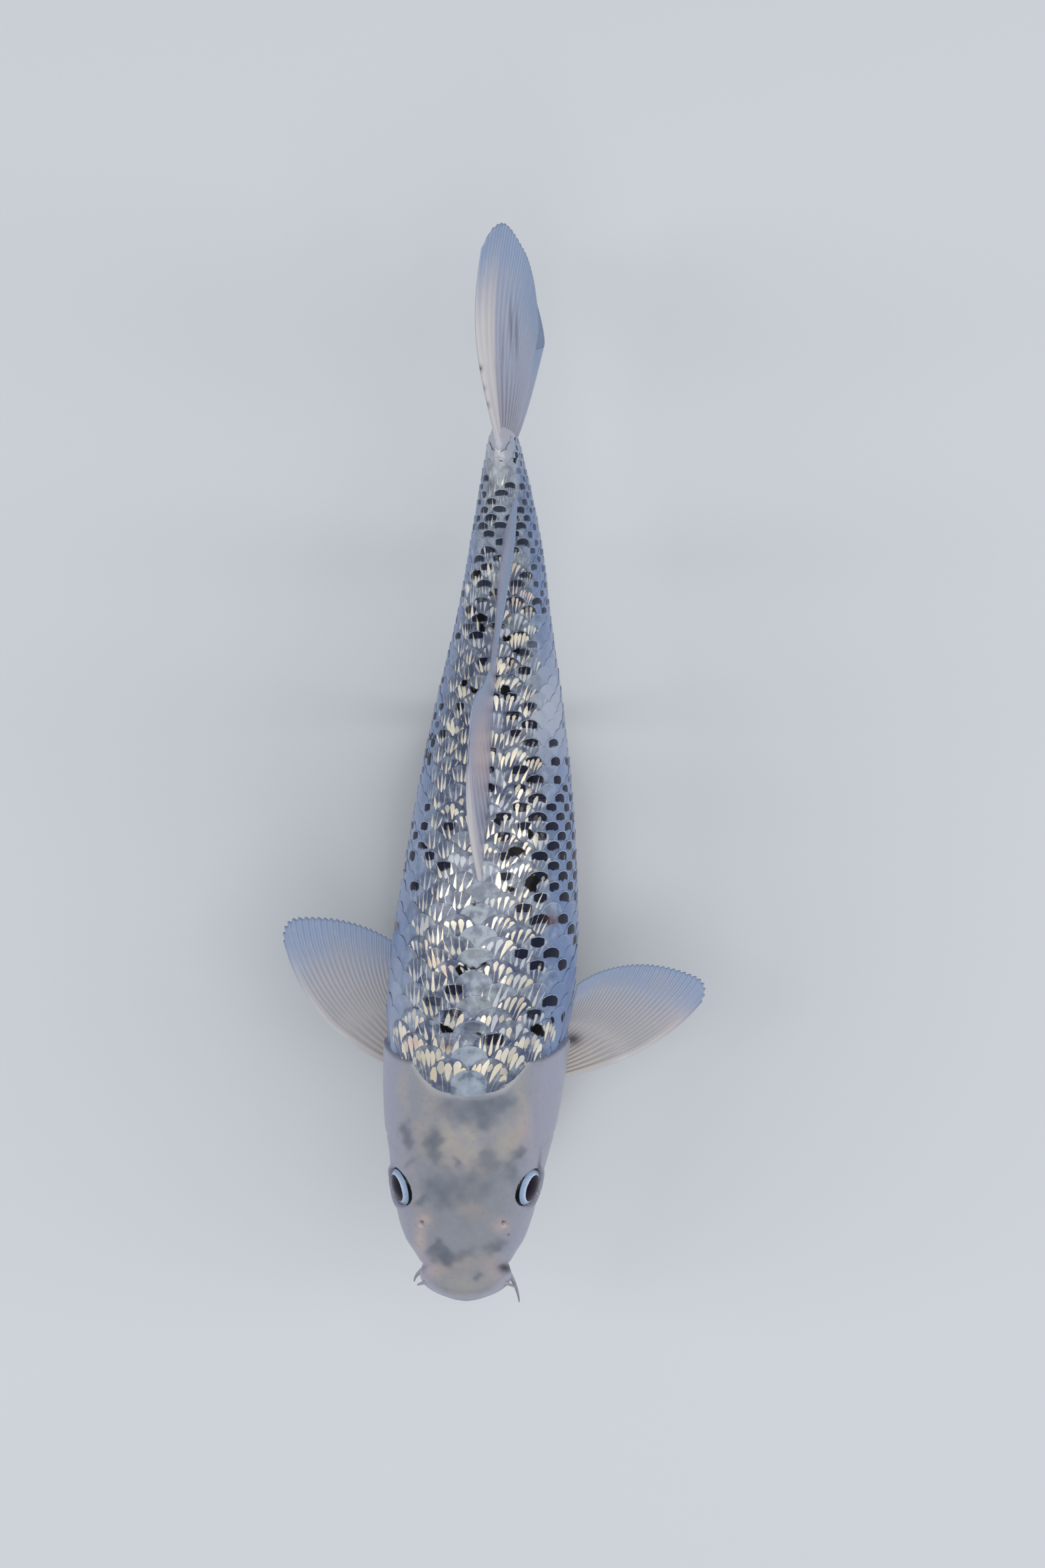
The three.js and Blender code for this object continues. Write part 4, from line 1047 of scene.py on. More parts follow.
def scale_marks(at, row, centre, x, z, chances):
    """What each scale as a whole holds for its finish. ink and wide are its dark pocket's
    strength and width. glitter, broad, turned, slant and early shape its teeth, painted
    as glints: their number, width, direction and lean, and how far forward they start. net,
    pale and streak are its plain tones, and seed tells it from the others."""
    stretch, tilt, raised, picked, lively, seed = chances
    left, back = plan(centre)
    share = np.abs(x) / wide_at(at)
    facing = ease(z - widest_at(at), -2, 6)
    pale = soft_spots(PALE_REGIONS, left, back) * facing
    dark = soft_spots(DARK_REGIONS, left, back) * facing * (1 - pale)
    spotted = soft_spots(INK_SPOTS, left, back) * facing
    flank = ease(share, 0.5, 0.6) * ease(x, -5, 5)
    stalk = ease(at, 315, 350)
    moved_out = mix(0.0, 0.3, ease(at, 205, 235))
    ridge = 1 - ease(share + moved_out, 0.06, 0.17)
    on_back = mix(0.9, mix(1.1, 1.7, np.abs(row) % 2), flank) * (1 - ridge)
    chosen = ease(dark * mix(on_back, 1.3, stalk) - picked, -0.05, 0.15)
    edge_dash = ease(share, 0.62, 0.8) * ease(at, 335, 355) * mix(0.3, 0.9, x > 0) * (picked > 0.2)
    ink = np.maximum(chosen, edge_dash * facing) * mix(1, 0.55, stalk) + 0.8 * spotted

    # where painted glints lie: a band on each side of the back's ridge, and the first scales of the nape
    outermost = np.where(x > 0, 0.74, mix(0.74, 0.9, ease(at, 220, 300)))
    glint_band = ease(share + moved_out, 0.08, 0.2) * (1 - ease(share, outermost - 0.2, outermost))
    level = mix(0.3, 1.3, lively) + 0.25 * (x < 0) * (at < 210)
    glint_band = glint_band * facing * (1 - 0.85 * ease(at, 350, 385)) * level
    behind = behind_scale_front(at, x, z)
    nape = 1.0 * (behind < 1.5 + scale_pitch(at)) * facing * (share < 0.8) * ease(share, 0.06, 0.16)
    glint_band = np.maximum(glint_band * (1 - 0.8 * pale), nape)
    streak = np.clip(0.42 * facing * (1 - ease(share, 0.7, 0.9)) + 0.06, 0, 1)
    pocket_width = mix(mix(0.8, 1.1, flank), 1.35, stalk) * mix(0.75, 1.2, stretch)
    return {
        "ink": np.clip(ink, 0, 1),
        "glitter": np.clip(glint_band, 0, 1),
        "broad": np.maximum(nape, raised**2 * (glint_band > 0.3)),
        "turned": 1.0 * ((tilt < np.where(x < -2, 0.85, 0.35)) & (nape < 0.5)),
        "slant": np.where(x > 0, 0.35, -0.12) * (np.abs(x) > 4) + mix(-0.3, 0.3, picked),
        "net": np.clip(0.06 + 0.5 * dark * np.maximum(flank, stalk), 0, 1),
        "pale": pale * 0.6,
        "streak": streak * (1 - 0.7 * pale),
        "wide": pocket_width * (1 - 0.3 * edge_dash),
        "early": np.clip((behind - 6.2) / 25, 0, 0.34) * (nape > 0.2),
        "seed": seed,
    }


def build_scales():
    """Overlapping scales as thin closed plates that follow the body. Across a scale the edge
    points lie at the sine of even angles, its free margin is a rounded arc, and its height
    over the skin grows from the buried root to the margin with a slight crown across."""
    sizes = bpy.context.scene.koi_sizes
    surface = Surface()
    lines = row_table()
    centre, _, x, z = surface.read(lines[:, 0], lines[:, 1])
    start = mix(1.5, 8.0, ease(np.abs(x), 33, 40))
    keep = (behind_scale_front(lines[:, 0], x, z) > start) & (lines[:, 0] < scales_end(lines[:, 0], x))
    at, u, spacing, row, side = lines[keep].T
    count = len(at)
    chances = np.random.default_rng(SCALE_SEED).random((count, 6)).T
    stretch, tilt, raised = chances[:3, :, None, None]

    length = scale_pitch(at)[:, None, None] * sizes.scale_overlap * mix(0.97, 1.03, stretch)
    half = (spacing * surface.arc(at, u) * sizes.scale_spread)[:, None, None]
    root = at[:, None, None] - SCALE_AHEAD * length
    theta = np.radians(np.linspace(-SCALE_ARC, SCALE_ARC, SCALE_COLUMNS + 1))[None, None, :]
    steps = np.array(SCALE_STEPS)[None, :, None]
    s = np.sin(theta) / math.sin(math.radians(SCALE_ARC))
    reach = steps * (length - 0.8 * half * (1 - np.cos(theta)))
    place_at = root + reach
    offset = s * half * mix(0.82, 1.0, steps) + mix(-0.05, 0.05, tilt) * reach
    middle_u = u[:, None, None]
    place_u = middle_u + offset / surface.arc(place_at, middle_u + np.sign(offset) * 1e-4)
    points, normal, local_x, local_z = surface.read(place_at, place_u)

    depth, lift = sizes.scale_depth / MM, sizes.scale_lift / MM
    rise = mix(-depth - 0.6, lift * raised - 0.25, (reach / length) ** 0.9)
    rise = rise + 0.25 * (1 - s**2) - 0.10 * (steps > 0.95) - shoulder_drop(place_at, local_x, local_z)
    upper = points + normal * rise[..., None]
    lower = upper - normal * (sizes.scale_thickness / MM)
    kinds, per = one_scale_faces()

    def packed(tops, unders):
        """Top grid, underside's left and right edges and rear edge, scale by scale."""
        tops = tops.reshape(count, -1, tops.shape[-1])
        return np.concatenate([tops, unders[:, :-1, 0], unders[:, :-1, -1], unders[:, -1]], 1)

    # The map for baked colours has one small patch per scale, at its root's place on an unwrap
    # of the skin: distance back along it, and place round the body up. No two patches overlap.
    # The underside's edges lie a little further out on both maps, so that a rim has some width.
    unwrapped = np.stack([(root[:, 0, 0] - MAP_START) / (BODY_LENGTH - MAP_START), (u % 4) / 4], -1)
    corner = MAP_MARGIN + (1 - 2 * MAP_MARGIN) * unwrapped - SCALE_PATCH / 2
    own = np.stack(np.broadcast_arrays((s + 1) / 2, steps + 0 * s), -1)[0]
    own = packed(*(np.broadcast_to(m, (count, *m.shape)) for m in (own, (own - 0.5) * 1.08 + 0.5)))
    baked = corner[:, None, :] + SCALE_PATCH * own[..., ::-1]

    everything = packed(upper, lower)
    marks = surface_marks(place_at, local_x, local_z, points)
    values = {key: packed(value[..., None], value[..., None]) for key, value in marks.items()}
    each = scale_marks(at, row, centre[keep], x[keep], z[keep], chances)
    values |= {key: np.broadcast_to(value[:, None, None], (count, per, 1)) for key, value in each.items()}
    for name, chosen in (("scales_left", side > 0), ("scales_right", side < 0)):
        start = (np.arange(chosen.sum()) * per)[:, None, None]
        faces = []
        for kind in kinds:
            faces += (np.array(kind)[None] + start).reshape(-1, len(kind[0])).tolist()
        add_piece(
            name, to_frame(everything[chosen]), faces, scale_finish(), [],
            {key: value[chosen] for key, value in values.items()},
            {"UVMap": own[chosen], "OFBake": baked[chosen]}, sharp=50,
        )


# ---------------------------------------------------------------- fins
def ray_ridges(a, v, rays):
    """Height of the rays across a fin, from 0 to 1: a raised cosine of a that doubles and
    doubles again further out, where the rays branch."""
    once, twice, often = (0.5 + 0.5 * np.cos(2 * np.pi * rays * k * a) for k in (1, 2, 4))
    return mix(mix(once, twice, ease(v, *FIRST_BRANCH)), often, ease(v, *SECOND_BRANCH))


def build_fin(name, place, size, rays, faces, dark, hues, lead, ink=(), blush=()):
    """A fin as a closed sheet: place(a, v) is its middle surface, and both faces lie half of
    its thickness to either side, ridged by the rays. The thickness falls with v^0.8. faces is
    how many it has across and along, dark is how far out the lines between the rays are dark,
    and lead is where the pale leading ray lies in a, and how wide it is."""
    a, v = (np.linspace(0, 1, count + 1) for count in faces)
    a, v = a[:, None], v[None, :] ** 0.9
    middle = place(a + 0 * v, v + 0 * a)
    edge = np.minimum(1, np.minimum(a, 1 - a) / 0.02 + 0.45)
    thick = mix(size["thick"], size["edge"], v**0.8) * edge
    thick = thick + RAY_HEIGHT * ray_ridges(a, v, rays) * mix(1.0, 0.6, v)
    out = normals_of(middle) * (thick / 2)[..., None]
    rows, columns = middle.shape[:2]
    count = rows * columns
    quads = grid_quads(rows, columns)
    rim = np.concatenate([
        np.arange(columns), np.arange(1, rows) * columns + columns - 1,
        (rows - 1) * columns + np.arange(columns - 2, -1, -1), np.arange(rows - 2, 0, -1) * columns,
    ])
    after = np.roll(rim, -1)
    sides = np.stack([rim, after, after + count, rim + count], -1)
    left, back = plan(middle)
    values = {
        "spot": soft_spots(ink, left, back),
        "blush": soft_spots(blush, left, back),
        "lead": bell(np.maximum(np.abs(a - lead[0]) - lead[1], 0), 0.03) * (1 - ease(v, 0.55, 1.0)),
    }
    add_piece(
        name, to_frame(np.stack([middle + out, middle - out])),
        np.concatenate([quads, (quads + count)[:, ::-1], sides]).tolist(),
        fin_finish(f"{name}_membrane", rays, dark, hues), [name],
        {key: np.stack([value] * 2) for key, value in values.items()},
        {"UVMap": np.stack([np.stack(np.broadcast_arrays(a, v), -1)] * 2)},
    )


def dorsal_place(a, v):
    """The back fin, half folded: rays rise at a low angle from the ridge and fall to the
    fish's right in front, and the low rear end leans left above a slight pleat."""
    foot, root = DORSAL_FIN["start"] + DORSAL_FIN["base"] * a, DORSAL_FIN["root"]
    rise = math.radians(DORSAL_FIN["rise"])
    reach = curve(DORSAL_RAYS)(a) * v * (1 - 0.012 * (1 - ray_ridges(a, 1.0, 20)) * v**6)
    bulge = mix(-9, 0, np.minimum(1, a / 0.45)) * np.sin(1.9 * v)
    pleat = -2.4 * ease(a, 0.3, 0.5) * (1 - ease(a, 0.85, 1)) * np.sin(np.pi * v)
    lean = 9 * ease(a, 0.3, 1) * v + pleat
    back = foot + reach * np.cos(rise)
    height = top(foot) - root + (reach + root * v) * np.sin(rise + 0.16 * (1 - v))
    points = on_spine(foot, bulge + lean, height)
    points[..., 0] += spine_x(np.minimum(back, SPINE_END)) - spine_x(foot)
    points[..., 1] = back
    return points


def anal_place(a, v):
    """The fin under the tail stalk: rays fall back from the belly at 52 to 40 degrees."""
    foot, root = ANAL_FIN["start"] + ANAL_FIN["base"] * a, ANAL_FIN["root"]
    fall = np.radians(mix(52, 40, a))
    reach = curve(ANAL_RAYS)(a) * v
    height = bottom(foot) + root - (reach + root * v) * np.sin(fall)
    points = on_spine(foot, 2.5 * np.sin(2 * v), height)
    points[..., 1] = foot + reach * np.cos(fall)
    return points


def lobe_place(lobe):
    """A lobe of the tail fin: rays fan from the stalk's end to a curved edge, and the outer
    ones bow to the fish's right."""
    back, height, left = (curve(lobe[key]) for key in ("back", "height", "left"))

    def place(a, v):
        share = mix(0.012, 1, a)
        spread = np.maximum(0, v - 0.08) / 0.92
        root = TAIL_FIN["half_base"] * share
        root_left = -lobe["sign"] * root * math.sin(math.radians(roll_degrees(SPINE_END)))
        bowed = lobe["bow"] * share**2 * np.sin(np.pi * spread**1.15)
        frayed = 1 - 0.008 * (1 - ray_ridges(a, 1.0, 9)) * v**8
        return np.stack([
            spine_x(SPINE_END) + mix(root_left, left(share), spread**0.68) - bowed,
            BODY_LENGTH + mix(-9, back(share), v * frayed),
            lobe["sign"] * mix(root, height(share), spread**0.85),
        ], -1)

    return place


def paired_place(size, spot, rays):
    """A paired fin: a fan of rays, each a quadratic Bezier curve from the root, shorter
    towards the rear, with a scalloped edge between the ray tips."""

    def place(a, v):
        rounding = 0.12 * np.maximum(0, 1 - a / 0.16) ** 2
        scallop = 1 - 0.016 * (1 - ray_ridges(a, 0.65, rays)) * v**8
        length = (size["length"] + spot["longer"]) * (1 - rounding - 0.5 * a) * scallop
        turn = np.radians(spot["sweep"] + size["spread"] * a)
        first = turn - np.radians(mix(spot["bow"], 4, a))
        b0, b1, b2 = (1 - v) ** 2, 2 * v * (1 - v), v * v
        out = b0 * -size["sink"] + b1 * 0.55 * length * np.cos(first) + b2 * length * np.cos(turn)
        back = b0 * size["chord"] * a + b1 * 0.55 * length * np.sin(first) + b2 * length * np.sin(turn)
        drop = math.radians(spot["drop"])
        away = out * math.cos(drop)
        down = out * math.sin(drop) + spot["camber"] * np.sin(np.pi * v) * (1 - a) - spot["tuck"] * a
        sideways = spot["side"] * (spot["out"] + away)
        points = on_spine(np.full_like(v, spot["at"]), sideways, spot["height"] - down)
        points[..., 1] = spot["at"] + back
        return points

    return place


def build_fins():
    """Every fin, with its rays, its faces across and along, and its colours from root to edge."""
    paired, tail = ("fin_root", "fin_middle", "fin_tip"), ("tail_root", "tail_middle", "fin_tip")
    build_fin(
        "dorsal_fin", dorsal_place, DORSAL_FIN, 20, (200, 44), 0.3, ("back_fin", "back_fin", "fin_tip"),
        (0.0, 0.01), blush=BACK_FIN_BLUSH,
    )
    build_fin("anal_fin", anal_place, ANAL_FIN, 8, (72, 40), 0.4, paired, (0.0, 0.05))
    for name, lobe in (("tail_fin_upper", UPPER_LOBE), ("tail_fin_lower", LOWER_LOBE)):
        build_fin(name, lobe_place(lobe), TAIL_FIN, 12, (130, 72), 0.6, tail, (1.0, 0.1), TAIL_STREAKS)
    for name, (size, spot) in PAIRED_PLACES.items():
        rays, across = (15, 150) if size is PECTORAL else (9, 90)
        marks = (PECTORAL_INK, PECTORAL_BLUSH) if name == "pectoral_fin_left" else ((), ())
        place = paired_place(size, spot, rays)
        build_fin(name, place, size, rays, (across, 56), 0.55, paired, (0.0, 0.03), *marks)


# ---------------------------------------------------------------- eyes, feelers and stand
def basis(direction):
    """Two unit vectors square to a direction and to each other."""
    aside = np.cross(direction, [0.0, 0.0, 1.0] if abs(direction[2]) < 0.9 else [1.0, 0.0, 0.0])
    aside = aside / np.linalg.norm(aside)
    return aside, np.cross(direction, aside)


def revolved(out, along, centre, direction, sides):
    """A closed surface of revolution: out is the distance from the axis and along the
    distance up it, with the first and last point on the axis, turned about direction."""
    direction = np.asarray(direction, float)
    aside, up = basis(direction)
    turn = np.linspace(0, 2 * np.pi, sides, endpoint=False)
    ring = np.cos(turn)[:, None] * aside + np.sin(turn)[:, None] * up
    body = centre + out[1:-1, None, None] * ring[None] + along[1:-1, None, None] * direction
    return closed_tube(body, [centre + along[k] * direction for k in (0, -1)])


def from_axis(offset, axis):
    """Distance of points from an axis through the origin, and 20 where they lie behind it."""
    ahead = offset @ axis
    return np.where(ahead > 0, np.sqrt(np.maximum((offset**2).sum(-1) - ahead**2, 0)), 20)


def build_eyes():
    """Each eyeball is a flattened ball, an ellipse turned about its look axis, with a low
    clear dome over the pupil."""
    finish = eye_finish()
    angle = np.radians(np.concatenate([np.linspace(0, 70, 61), np.linspace(75, 180, 16)]))
    out, along = EYE["radius"] * np.sin(angle), EYE["depth"] * np.cos(angle)
    along = along + 0.3 * bell(out, 5.0) * (along > 0)
    for side, (centre, look) in eye_places().items():
        points, faces = revolved(out, along, centre, look, EYE_SIDES)
        gaze = look - np.array([0, 0, EYE["gaze_down"]])
        gaze = gaze / np.linalg.norm(gaze)
        rings = {"radius": from_axis(points - centre, gaze), "rim": from_axis(points - centre, look)}
        name = f"eye_{side}"
        add_piece(name, to_frame(points), faces, finish, [name], rings)


def feeler_line(size, reach, side, share):
    """A parabola through a feeler's root, middle and tip, its middle raised by 1.5 mm."""
    outwards, ahead, down = reach

    def station(part, raised):
        out, height = size["out"] + outwards * part, size["height"] - down * part + raised
        point = on_spine(np.float64(size["at"]), side * out, height)
        point[1] = size["at"] - ahead * part
        return point

    root = on_spine(np.float64(size["at"]), side * (size["out"] - 3), np.float64(size["height"] + 1))
    middle, tip, t = station(0.5, 1.5), station(1.0, 0.0), share
    return root * (1 - t) * (1 - 2 * t) + middle * 4 * t * (1 - t) + tip * t * (2 * t - 1)


def build_feelers():
    """Each feeler is a round tube along a parabola. Its radius falls from root to tip with
    t^0.8, ripples slightly and closes in a rounded end."""
    finish = feeler_finish()
    t = np.linspace(0, 1, FEELER_RINGS)[:, None]
    turn = np.linspace(0, 2 * np.pi, FEELER_SIDES, endpoint=False)[None, :, None]
    for end, size in FEELERS.items():
        wide = mix(size["root"], size["tip"], t**0.8) * np.sqrt(np.clip((1 - t) / 0.04, 0.05, 1))
        wide = wide * (1 + 0.03 * np.sin(60 * t))
        for name, side in SIDES.items():
            line = feeler_line(size, size[name], side, t)
            ahead = np.gradient(line, axis=0)
            ahead /= np.linalg.norm(ahead, axis=1, keepdims=True)
            aside = np.cross(ahead, [0.0, 0.0, 1.0])
            aside /= np.linalg.norm(aside, axis=1, keepdims=True)
            up = np.cross(ahead, aside)
            ring = np.cos(turn) * aside[:, None] + np.sin(turn) * up[:, None]
            points, faces = closed_tube(line[:, None] + wide[:, None] * ring, [line[0], line[-1]])
            held = np.append(np.repeat(t[:, 0], FEELER_SIDES), [0, 1])
            piece = f"barbel_{end}_{name}"
            add_piece(piece, to_frame(points), faces, finish, [piece], {"along": held})


def rounded(corner_out, corner_up, radius, start, end, steps=6):
    """Points of a quarter round about a corner's centre, from one angle to another."""
    angle = np.radians(np.linspace(start, end, steps))
    return corner_out + radius * np.cos(angle), corner_up + radius * np.sin(angle)


def build_stand():
    """The base is an oval slab whose edges are quarter rounds. Each rod is a profile turned
    about a vertical line: a foot flange with a small fillet, then the rod up into the belly."""
    r, thick = STAND["round"], STAND["thick"]
    low_out, low_up = rounded(-r, r, r, -90, 0)
    high_out, high_up = rounded(-r, thick - r, r, 0, 90)
    inset = np.concatenate([[-CAP_INSET], low_out, high_out, [-CAP_INSET]])
    up = np.concatenate([[0], low_up, high_up, [thick]])
    turn = np.linspace(0, 2 * np.pi, STAND_SIDES, endpoint=False)
    x = (STAND["half_width"] + inset)[:, None] * np.cos(turn)
    y = (STAND["half_length"] + inset)[:, None] * np.sin(turn)
    points = np.stack([x, y, np.broadcast_to(up[:, None], x.shape)], -1)
    rows, sides = x.shape
    faces = grid_quads(rows, sides, wrap=True).tolist()
    faces += [list(range(sides))[::-1], list(range((rows - 1) * sides, rows * sides))]
    add_piece("stand_base_slab", points * MM, faces, paint_finish(), ["stand_base"], sharp=40)

    steel = steel_finish()
    foot, flange, rod = thick + FLANGE_GAP, STAND["flange"], STAND["rod"]
    flange_top = foot + STAND["flange_thick"]
    edge = rounded(flange - FLANGE_ROUND, flange_top - FLANGE_ROUND, FLANGE_ROUND, 0, 90)
    inner = rounded(rod + FLANGE_FILLET, flange_top + FLANGE_FILLET, FLANGE_FILLET, 270, 180)
    out = np.concatenate([[0], [flange], edge[0], inner[0], [rod, rod], [0]])
    for name, at in STAND_RODS.items():
        head = AXIS_HEIGHT + float(bottom(at)) + ROD_IN_BELLY
        along = np.concatenate([[foot], [foot], edge[1], inner[1], [0.5 * head, head], [head]])
        centre = np.array([0.0, at - BALANCE_AT, 0.0])
        points, faces = revolved(out, along, centre, [0.0, 0.0, 1.0], ROD_SIDES)
        add_piece(f"{name}_steel", points * MM, faces, steel, [name], sharp=40)


# ---------------------------------------------------------------- stage, in metres
FLOOR_HALF = 6.0
LAMPS_AIM_AT = (0.0, 0.05, 0.15)
OVER_PLACE, OVER_SIZE, OVER_TINT = (0.3, -0.5, 3.4), (2.4, 2.4), (1.0, 0.98, 0.95)
SIDE_OUT, SIDE_UP, SIDE_SIZE, SIDE_TINT = 1.7, 1.7, (0.5, 2.2), (1.0, 0.97, 0.92)
SURROUND_TINT = (0.86, 0.92, 1.0, 1.0)
SENSOR_WIDTH = 36


def area_light(name, place, size, energy, tint):
    """A soft rectangular lamp at a place, facing the middle of the fish."""
    data = bpy.data.lights.new(name, "AREA")
    data.shape = "RECTANGLE"
    data.size, data.size_y = size
    data.energy = energy
    data.color = tint
    lamp = bpy.data.objects.new(name, data)
    lamp.location = place
    lamp.rotation_euler = (Vector(LAMPS_AIM_AT) - Vector(place)).to_track_quat("-Z", "Y").to_euler()
    bpy.context.scene.collection.objects.link(lamp)


def build_stage():
    """A wide pale floor, a broad lamp overhead, two long lamps that draw a glint along each
    side of the back, an even surround, and a camera straight over the fish."""
    scene = bpy.context.scene
    stage = scene.koi_stage
    mesh = bpy.data.meshes.new("floor")
    corners = [(x * FLOOR_HALF, y * FLOOR_HALF, 0) for x, y in ((-1, -1), (1, -1), (1, 1), (-1, 1))]
    mesh.from_pydata(corners, [], [(0, 1, 2, 3)])
    f = Finish("pale_floor", {"Roughness": 0.9, "Specular IOR Level": 0.2})
    f.tone = f.mix(f.times(f.noise(1.5, 3.0), 0.15), (*stage.floor, 1.0), (*stage.floor_shade, 1.0))
    mesh.materials.append(f.done())
    floor = bpy.data.objects.new("floor", mesh)
    scene.collection.objects.link(floor)

    area_light("lamp_over", OVER_PLACE, OVER_SIZE, stage.over_power, OVER_TINT)
    for name, side in SIDES.items():
        area_light(f"lamp_{name}", (side * SIDE_OUT, 0.0, SIDE_UP), SIDE_SIZE, stage.side_power, SIDE_TINT)

    scene.view_settings.view_transform = "Standard"
    scene.world = scene.world or bpy.data.worlds.new("surround")
    scene.world.use_nodes = True
    surround = scene.world.node_tree.nodes["Background"]
    surround.inputs["Color"].default_value = SURROUND_TINT
    surround.inputs["Strength"].default_value = stage.surround

    data = bpy.data.cameras.new("camera")
    data.sensor_width = SENSOR_WIDTH
    data.lens = SENSOR_WIDTH * VIEW_HEIGHT / VIEW_TALL
    data.clip_start, data.clip_end = 0.05, 50
    camera = bpy.data.objects.new("camera", data)
    camera.location = (VIEW_X * MM, (VIEW_AT - BALANCE_AT) * MM, (AXIS_HEIGHT + VIEW_HEIGHT) * MM)
    scene.collection.objects.link(camera)
    scene.camera = camera


# ---------------------------------------------------------------- settings
def shade(name, description, value):
    """A colour setting with its default in sRGB values of 0 to 255."""
    return bpy.props.FloatVectorProperty(
        name=name, description=description, default=rgb(*value), size=3, min=0, max=1, subtype="COLOR",
    )


def amount(name, description, value, low=0.0, **more):
    """A number setting with its default and least value, and its most and unit in more."""
    return bpy.props.FloatProperty(name=name, description=description, default=value, min=low, **more)


LENGTH = dict(unit="LENGTH", precision=5)
FACTOR = dict(subtype="FACTOR")


class KoiColours(bpy.types.PropertyGroup):
    head_grey: shade("Head grey", "Cool base of the head", (144, 148, 158))
    head_warm: shade("Head warm", "Warm base of the head", (162, 156, 156))
    # cheek: also the colour of the painted blue reflection on the head's sides, and the feelers' base
    cheek: shade("Cheek", "Gill covers and cheeks", (156, 158, 180))
    # shoulder: its blue is the painted reflection on the bare skin at the sides
    shoulder: shade("Shoulder", "Bare skin behind the gill covers", (112, 134, 178))
    belly_cream: shade("Belly", "Throat and belly", (200, 200, 204))
    cream: shade("Cream", "Cream patches of the head", (172, 167, 158))
    blush: shade("Blush", "Pink of the snout and feelers", (204, 180, 174))
    cloud: shade("Cloud", "Blue-grey clouds of the head", (98, 106, 120))
    lip_rim: shade("Lip rim", "Rim of the upper lip, skin before the tail fin", (182, 183, 200))
    # pocket: painted shade of the skin under the scales
    pocket: shade("Pocket", "Skin under the scales", (84, 94, 112))
    # ink: dark pockets and spots, and painted shade in the head's creases
    ink: shade("Ink", "Dark pockets and folds", (26, 30, 50))
    # black also fills the eye rims, which are partly painted shade of the sockets
    black: shade("Black", "Black spots and eye rims", (12, 12, 16))
    rust: shade("Rust", "Brown-red spots", (84, 48, 46))
    back_grey: shade("Back grey", "Scales of the back", (124, 136, 158))
    back_green: shade("Back green", "Greener scales of the back", (138, 146, 146))
    # the painted blue reflection of the flanks
    flank_blue_reflection: shade("Flank blue", "Scales of the flanks", (96, 124, 174))
    net: shade("Net", "Pale margins of the scales", (176, 188, 208))
    # gap: painted shade between the painted glints, and a random darker tone of some scales
    gap: shade("Gap", "Dark gaps between the bright teeth", (54, 68, 104))
    # pale: pale patches, and also the duller painted glints on the scales' teeth
    pale: shade("Pale", "Pale patches and streaks", (204, 208, 218))
    # the next three are the colours of the painted glints on the scales' teeth
    glint_cream: shade("Tooth cream", "Bright teeth of the scales", (255, 250, 236))
    glint_gold: shade("Tooth gold", "Golden teeth of the scales", (250, 234, 202))
    glint_pink: shade("Tooth pink", "Rosy teeth of the scales", (244, 214, 200))
    fin_root: shade("Fin root", "Paired fins near the body", (184, 176, 168))
    fin_middle: shade("Fin middle", "Paired fins half way out", (162, 162, 170))
    fin_tip: shade("Fin edge", "Edges of the fins", (134, 154, 188))
    back_fin: shade("Back fin", "Fin of the back", (150, 154, 180))
    tail_root: shade("Tail root", "Tail fin near the stalk", (146, 146, 166))
    tail_middle: shade("Tail middle", "Tail fin half way out", (152, 160, 184))
    fin_lead: shade("Fin lead", "Leading edge of the fins", (196, 194, 198))
    fin_ray: shade("Fin ray", "Rays of the fins", (190, 190, 200))
    fin_dark: shade("Fin dark", "Lines between the rays", (88, 86, 100))
    iris: shade("Iris", "Iris of the eyes", (186, 206, 232))
    iris_edge: shade("Iris edge", "Outer iris", (140, 164, 194))
    iris_ring: shade("Iris ring", "Bright ring about the pupil", (214, 222, 232))
    pupil: shade("Pupil", "Pupil of the eyes", (22, 10, 34))
    base_paint: shade("Base paint", "Paint of the stand's base", (24, 25, 27))
    base_worn: shade("Base worn", "Rubbed paint of the base", (60, 61, 64))
    steel: shade("Steel", "Rods of the stand", (190, 193, 198))
    steel_dark: shade("Steel dark", "Brushed lines of the rods", (130, 134, 140))


class KoiSizes(bpy.types.PropertyGroup):
    scale_depth: amount(
        "Coat depth", "How far the skin lies under the coat of scales", 0.0011, 0.0004, max=0.003, **LENGTH
    )
    scale_lift: amount(
        "Lift", "Most that a free margin stands out beyond its neighbours", 0.0003, max=0.002, **LENGTH
    )
    scale_thickness: amount(
        "Scale thickness", "Thickness of one scale", 0.00035, 0.0001, max=0.001, **LENGTH
    )
    scale_overlap: amount(
        "Overlap", "Length of a scale over the pitch of its row", 2.0, 1.2, max=3.0, **FACTOR
    )
    scale_spread: amount(
        "Spread", "Half width of a scale over the gap between rows", 0.95, 0.6, max=1.4, **FACTOR
    )
    relief: amount("Head relief", "Strength of the folds and forms of the head", 1.0, max=2, **FACTOR)


class KoiStage(bpy.types.PropertyGroup):
    floor: shade("Floor", "Pale floor", (214, 218, 224))
    floor_shade: shade("Floor shade", "Faint clouds of the floor", (200, 205, 213))
    over_power: amount("Overhead lamp", "Power of the lamp overhead", 42, unit="POWER")
    side_power: amount("Side lamps", "Power of each lamp at the side", 15, unit="POWER")
    surround: amount("Surround", "Strength of the even light from all round", 0.36)


# ---------------------------------------------------------------- operators and panel
class KOI_OT_skin(bpy.types.Operator):
    """Build the one skin of head, trunk and tail stalk"""

    bl_idname = "koi.skin"
    bl_label = "Skin"

    def execute(self, context):
        build_skin()
        return {"FINISHED"}


class KOI_OT_scales(bpy.types.Operator):
    """Lay the scales over the skin"""

    bl_idname = "koi.scales"
    bl_label = "Scales"

    def execute(self, context):
        build_scales()
        return {"FINISHED"}


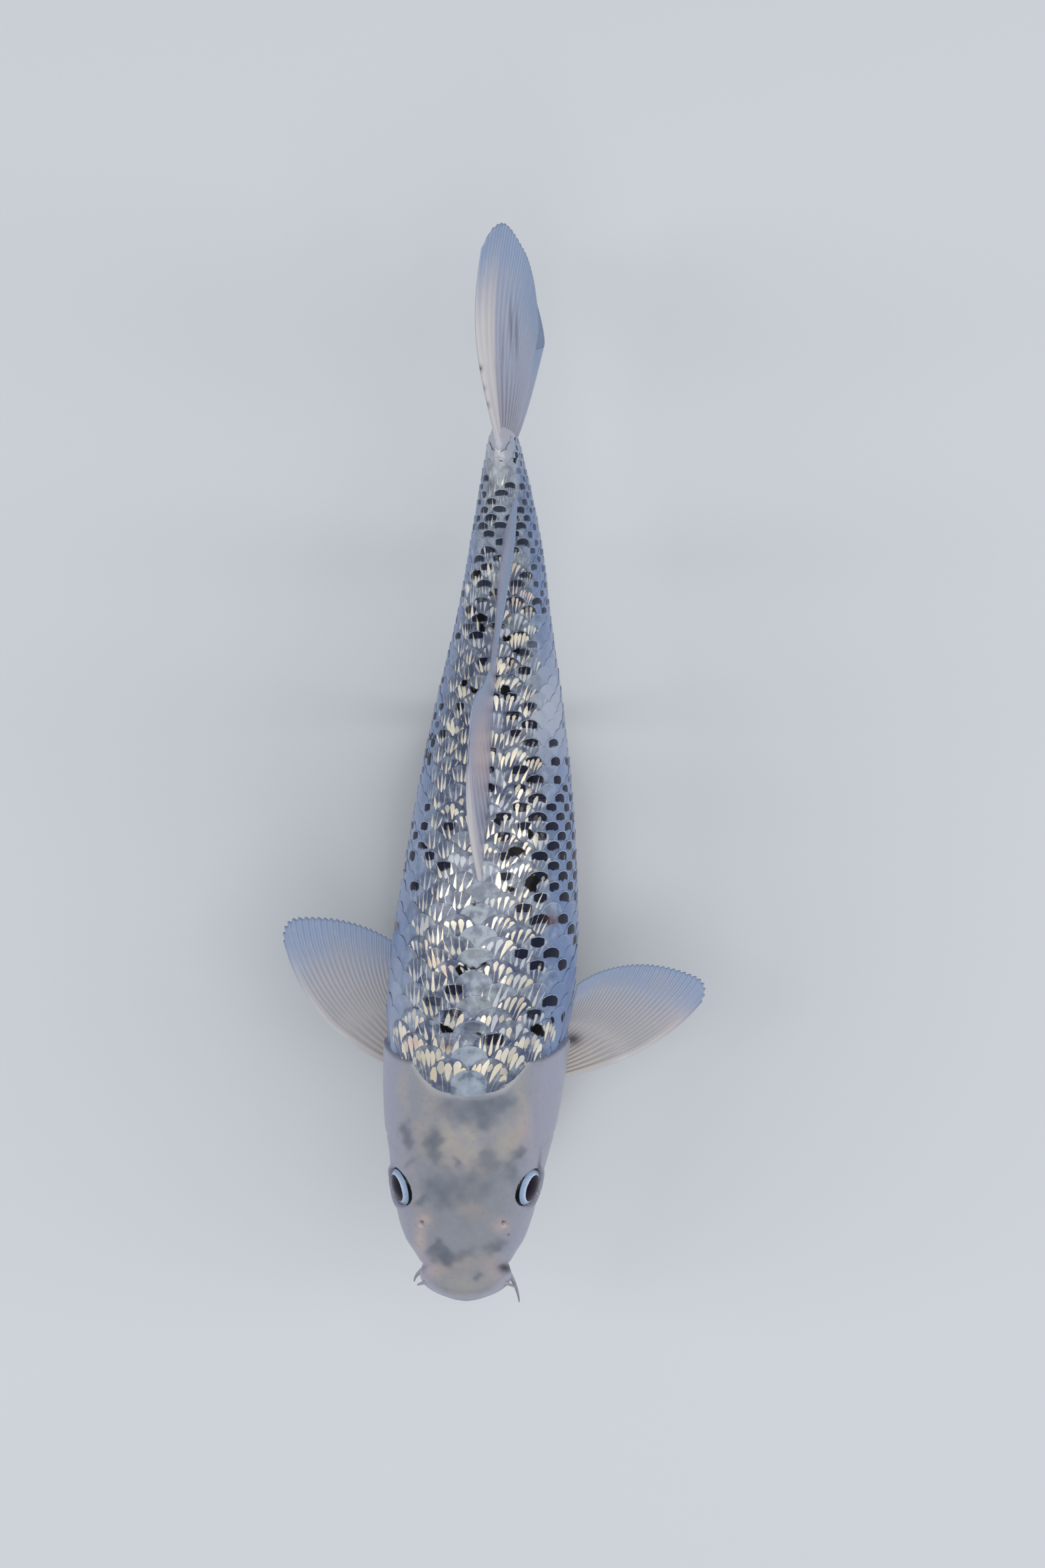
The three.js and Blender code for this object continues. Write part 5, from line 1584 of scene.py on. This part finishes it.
class KOI_OT_eyes(bpy.types.Operator):
    """Set both eyes"""

    bl_idname = "koi.eyes"
    bl_label = "Eyes"

    def execute(self, context):
        build_eyes()
        return {"FINISHED"}


class KOI_OT_feelers(bpy.types.Operator):
    """Grow the four feelers of the mouth"""

    bl_idname = "koi.feelers"
    bl_label = "Feelers"

    def execute(self, context):
        build_feelers()
        return {"FINISHED"}


class KOI_OT_fins(bpy.types.Operator):
    """Spread the back, anal, tail and paired fins"""

    bl_idname = "koi.fins"
    bl_label = "Fins"

    def execute(self, context):
        build_fins()
        return {"FINISHED"}


class KOI_OT_stand(bpy.types.Operator):
    """Make the base and rods of the display stand"""

    bl_idname = "koi.stand"
    bl_label = "Stand"

    def execute(self, context):
        build_stand()
        return {"FINISHED"}


class KOI_OT_stage(bpy.types.Operator):
    """Set the floor, lamps, surround and camera"""

    bl_idname = "koi.stage"
    bl_label = "Stage"

    def execute(self, context):
        build_stage()
        return {"FINISHED"}


STEPS = (
    KOI_OT_skin, KOI_OT_scales, KOI_OT_eyes, KOI_OT_feelers, KOI_OT_fins, KOI_OT_stand, KOI_OT_stage,
)


class KOI_PT_panel(bpy.types.Panel):
    """Steps and settings of the carp"""

    bl_idname = "KOI_PT_panel"
    bl_label = "Koi carp"
    bl_space_type = "VIEW_3D"
    bl_region_type = "UI"
    bl_category = "Koi"

    def draw(self, context):
        for step in STEPS:
            self.layout.operator(step.bl_idname)
        for key in GROUPS:
            group = getattr(context.scene, key)
            box = self.layout.box()
            for setting in group.__annotations__:
                box.prop(group, setting)


GROUPS = {"koi_sizes": KoiSizes, "koi_stage": KoiStage, "koi_colours": KoiColours}
CLASSES = (*GROUPS.values(), *STEPS, KOI_PT_panel)


def register():
    for made in CLASSES:
        bpy.utils.register_class(made)
    for key, group in GROUPS.items():
        setattr(bpy.types.Scene, key, bpy.props.PointerProperty(type=group))


def unregister():
    for key in GROUPS:
        delattr(bpy.types.Scene, key)
    for made in reversed(CLASSES):
        bpy.utils.unregister_class(made)


def main():
    register()
    for step in STEPS:
        group, name = step.bl_idname.split(".")
        if getattr(getattr(bpy.ops, group), name)() != {"FINISHED"}:
            raise RuntimeError(f"{step.bl_label} did not finish")


if __name__ == "__main__":
    main()
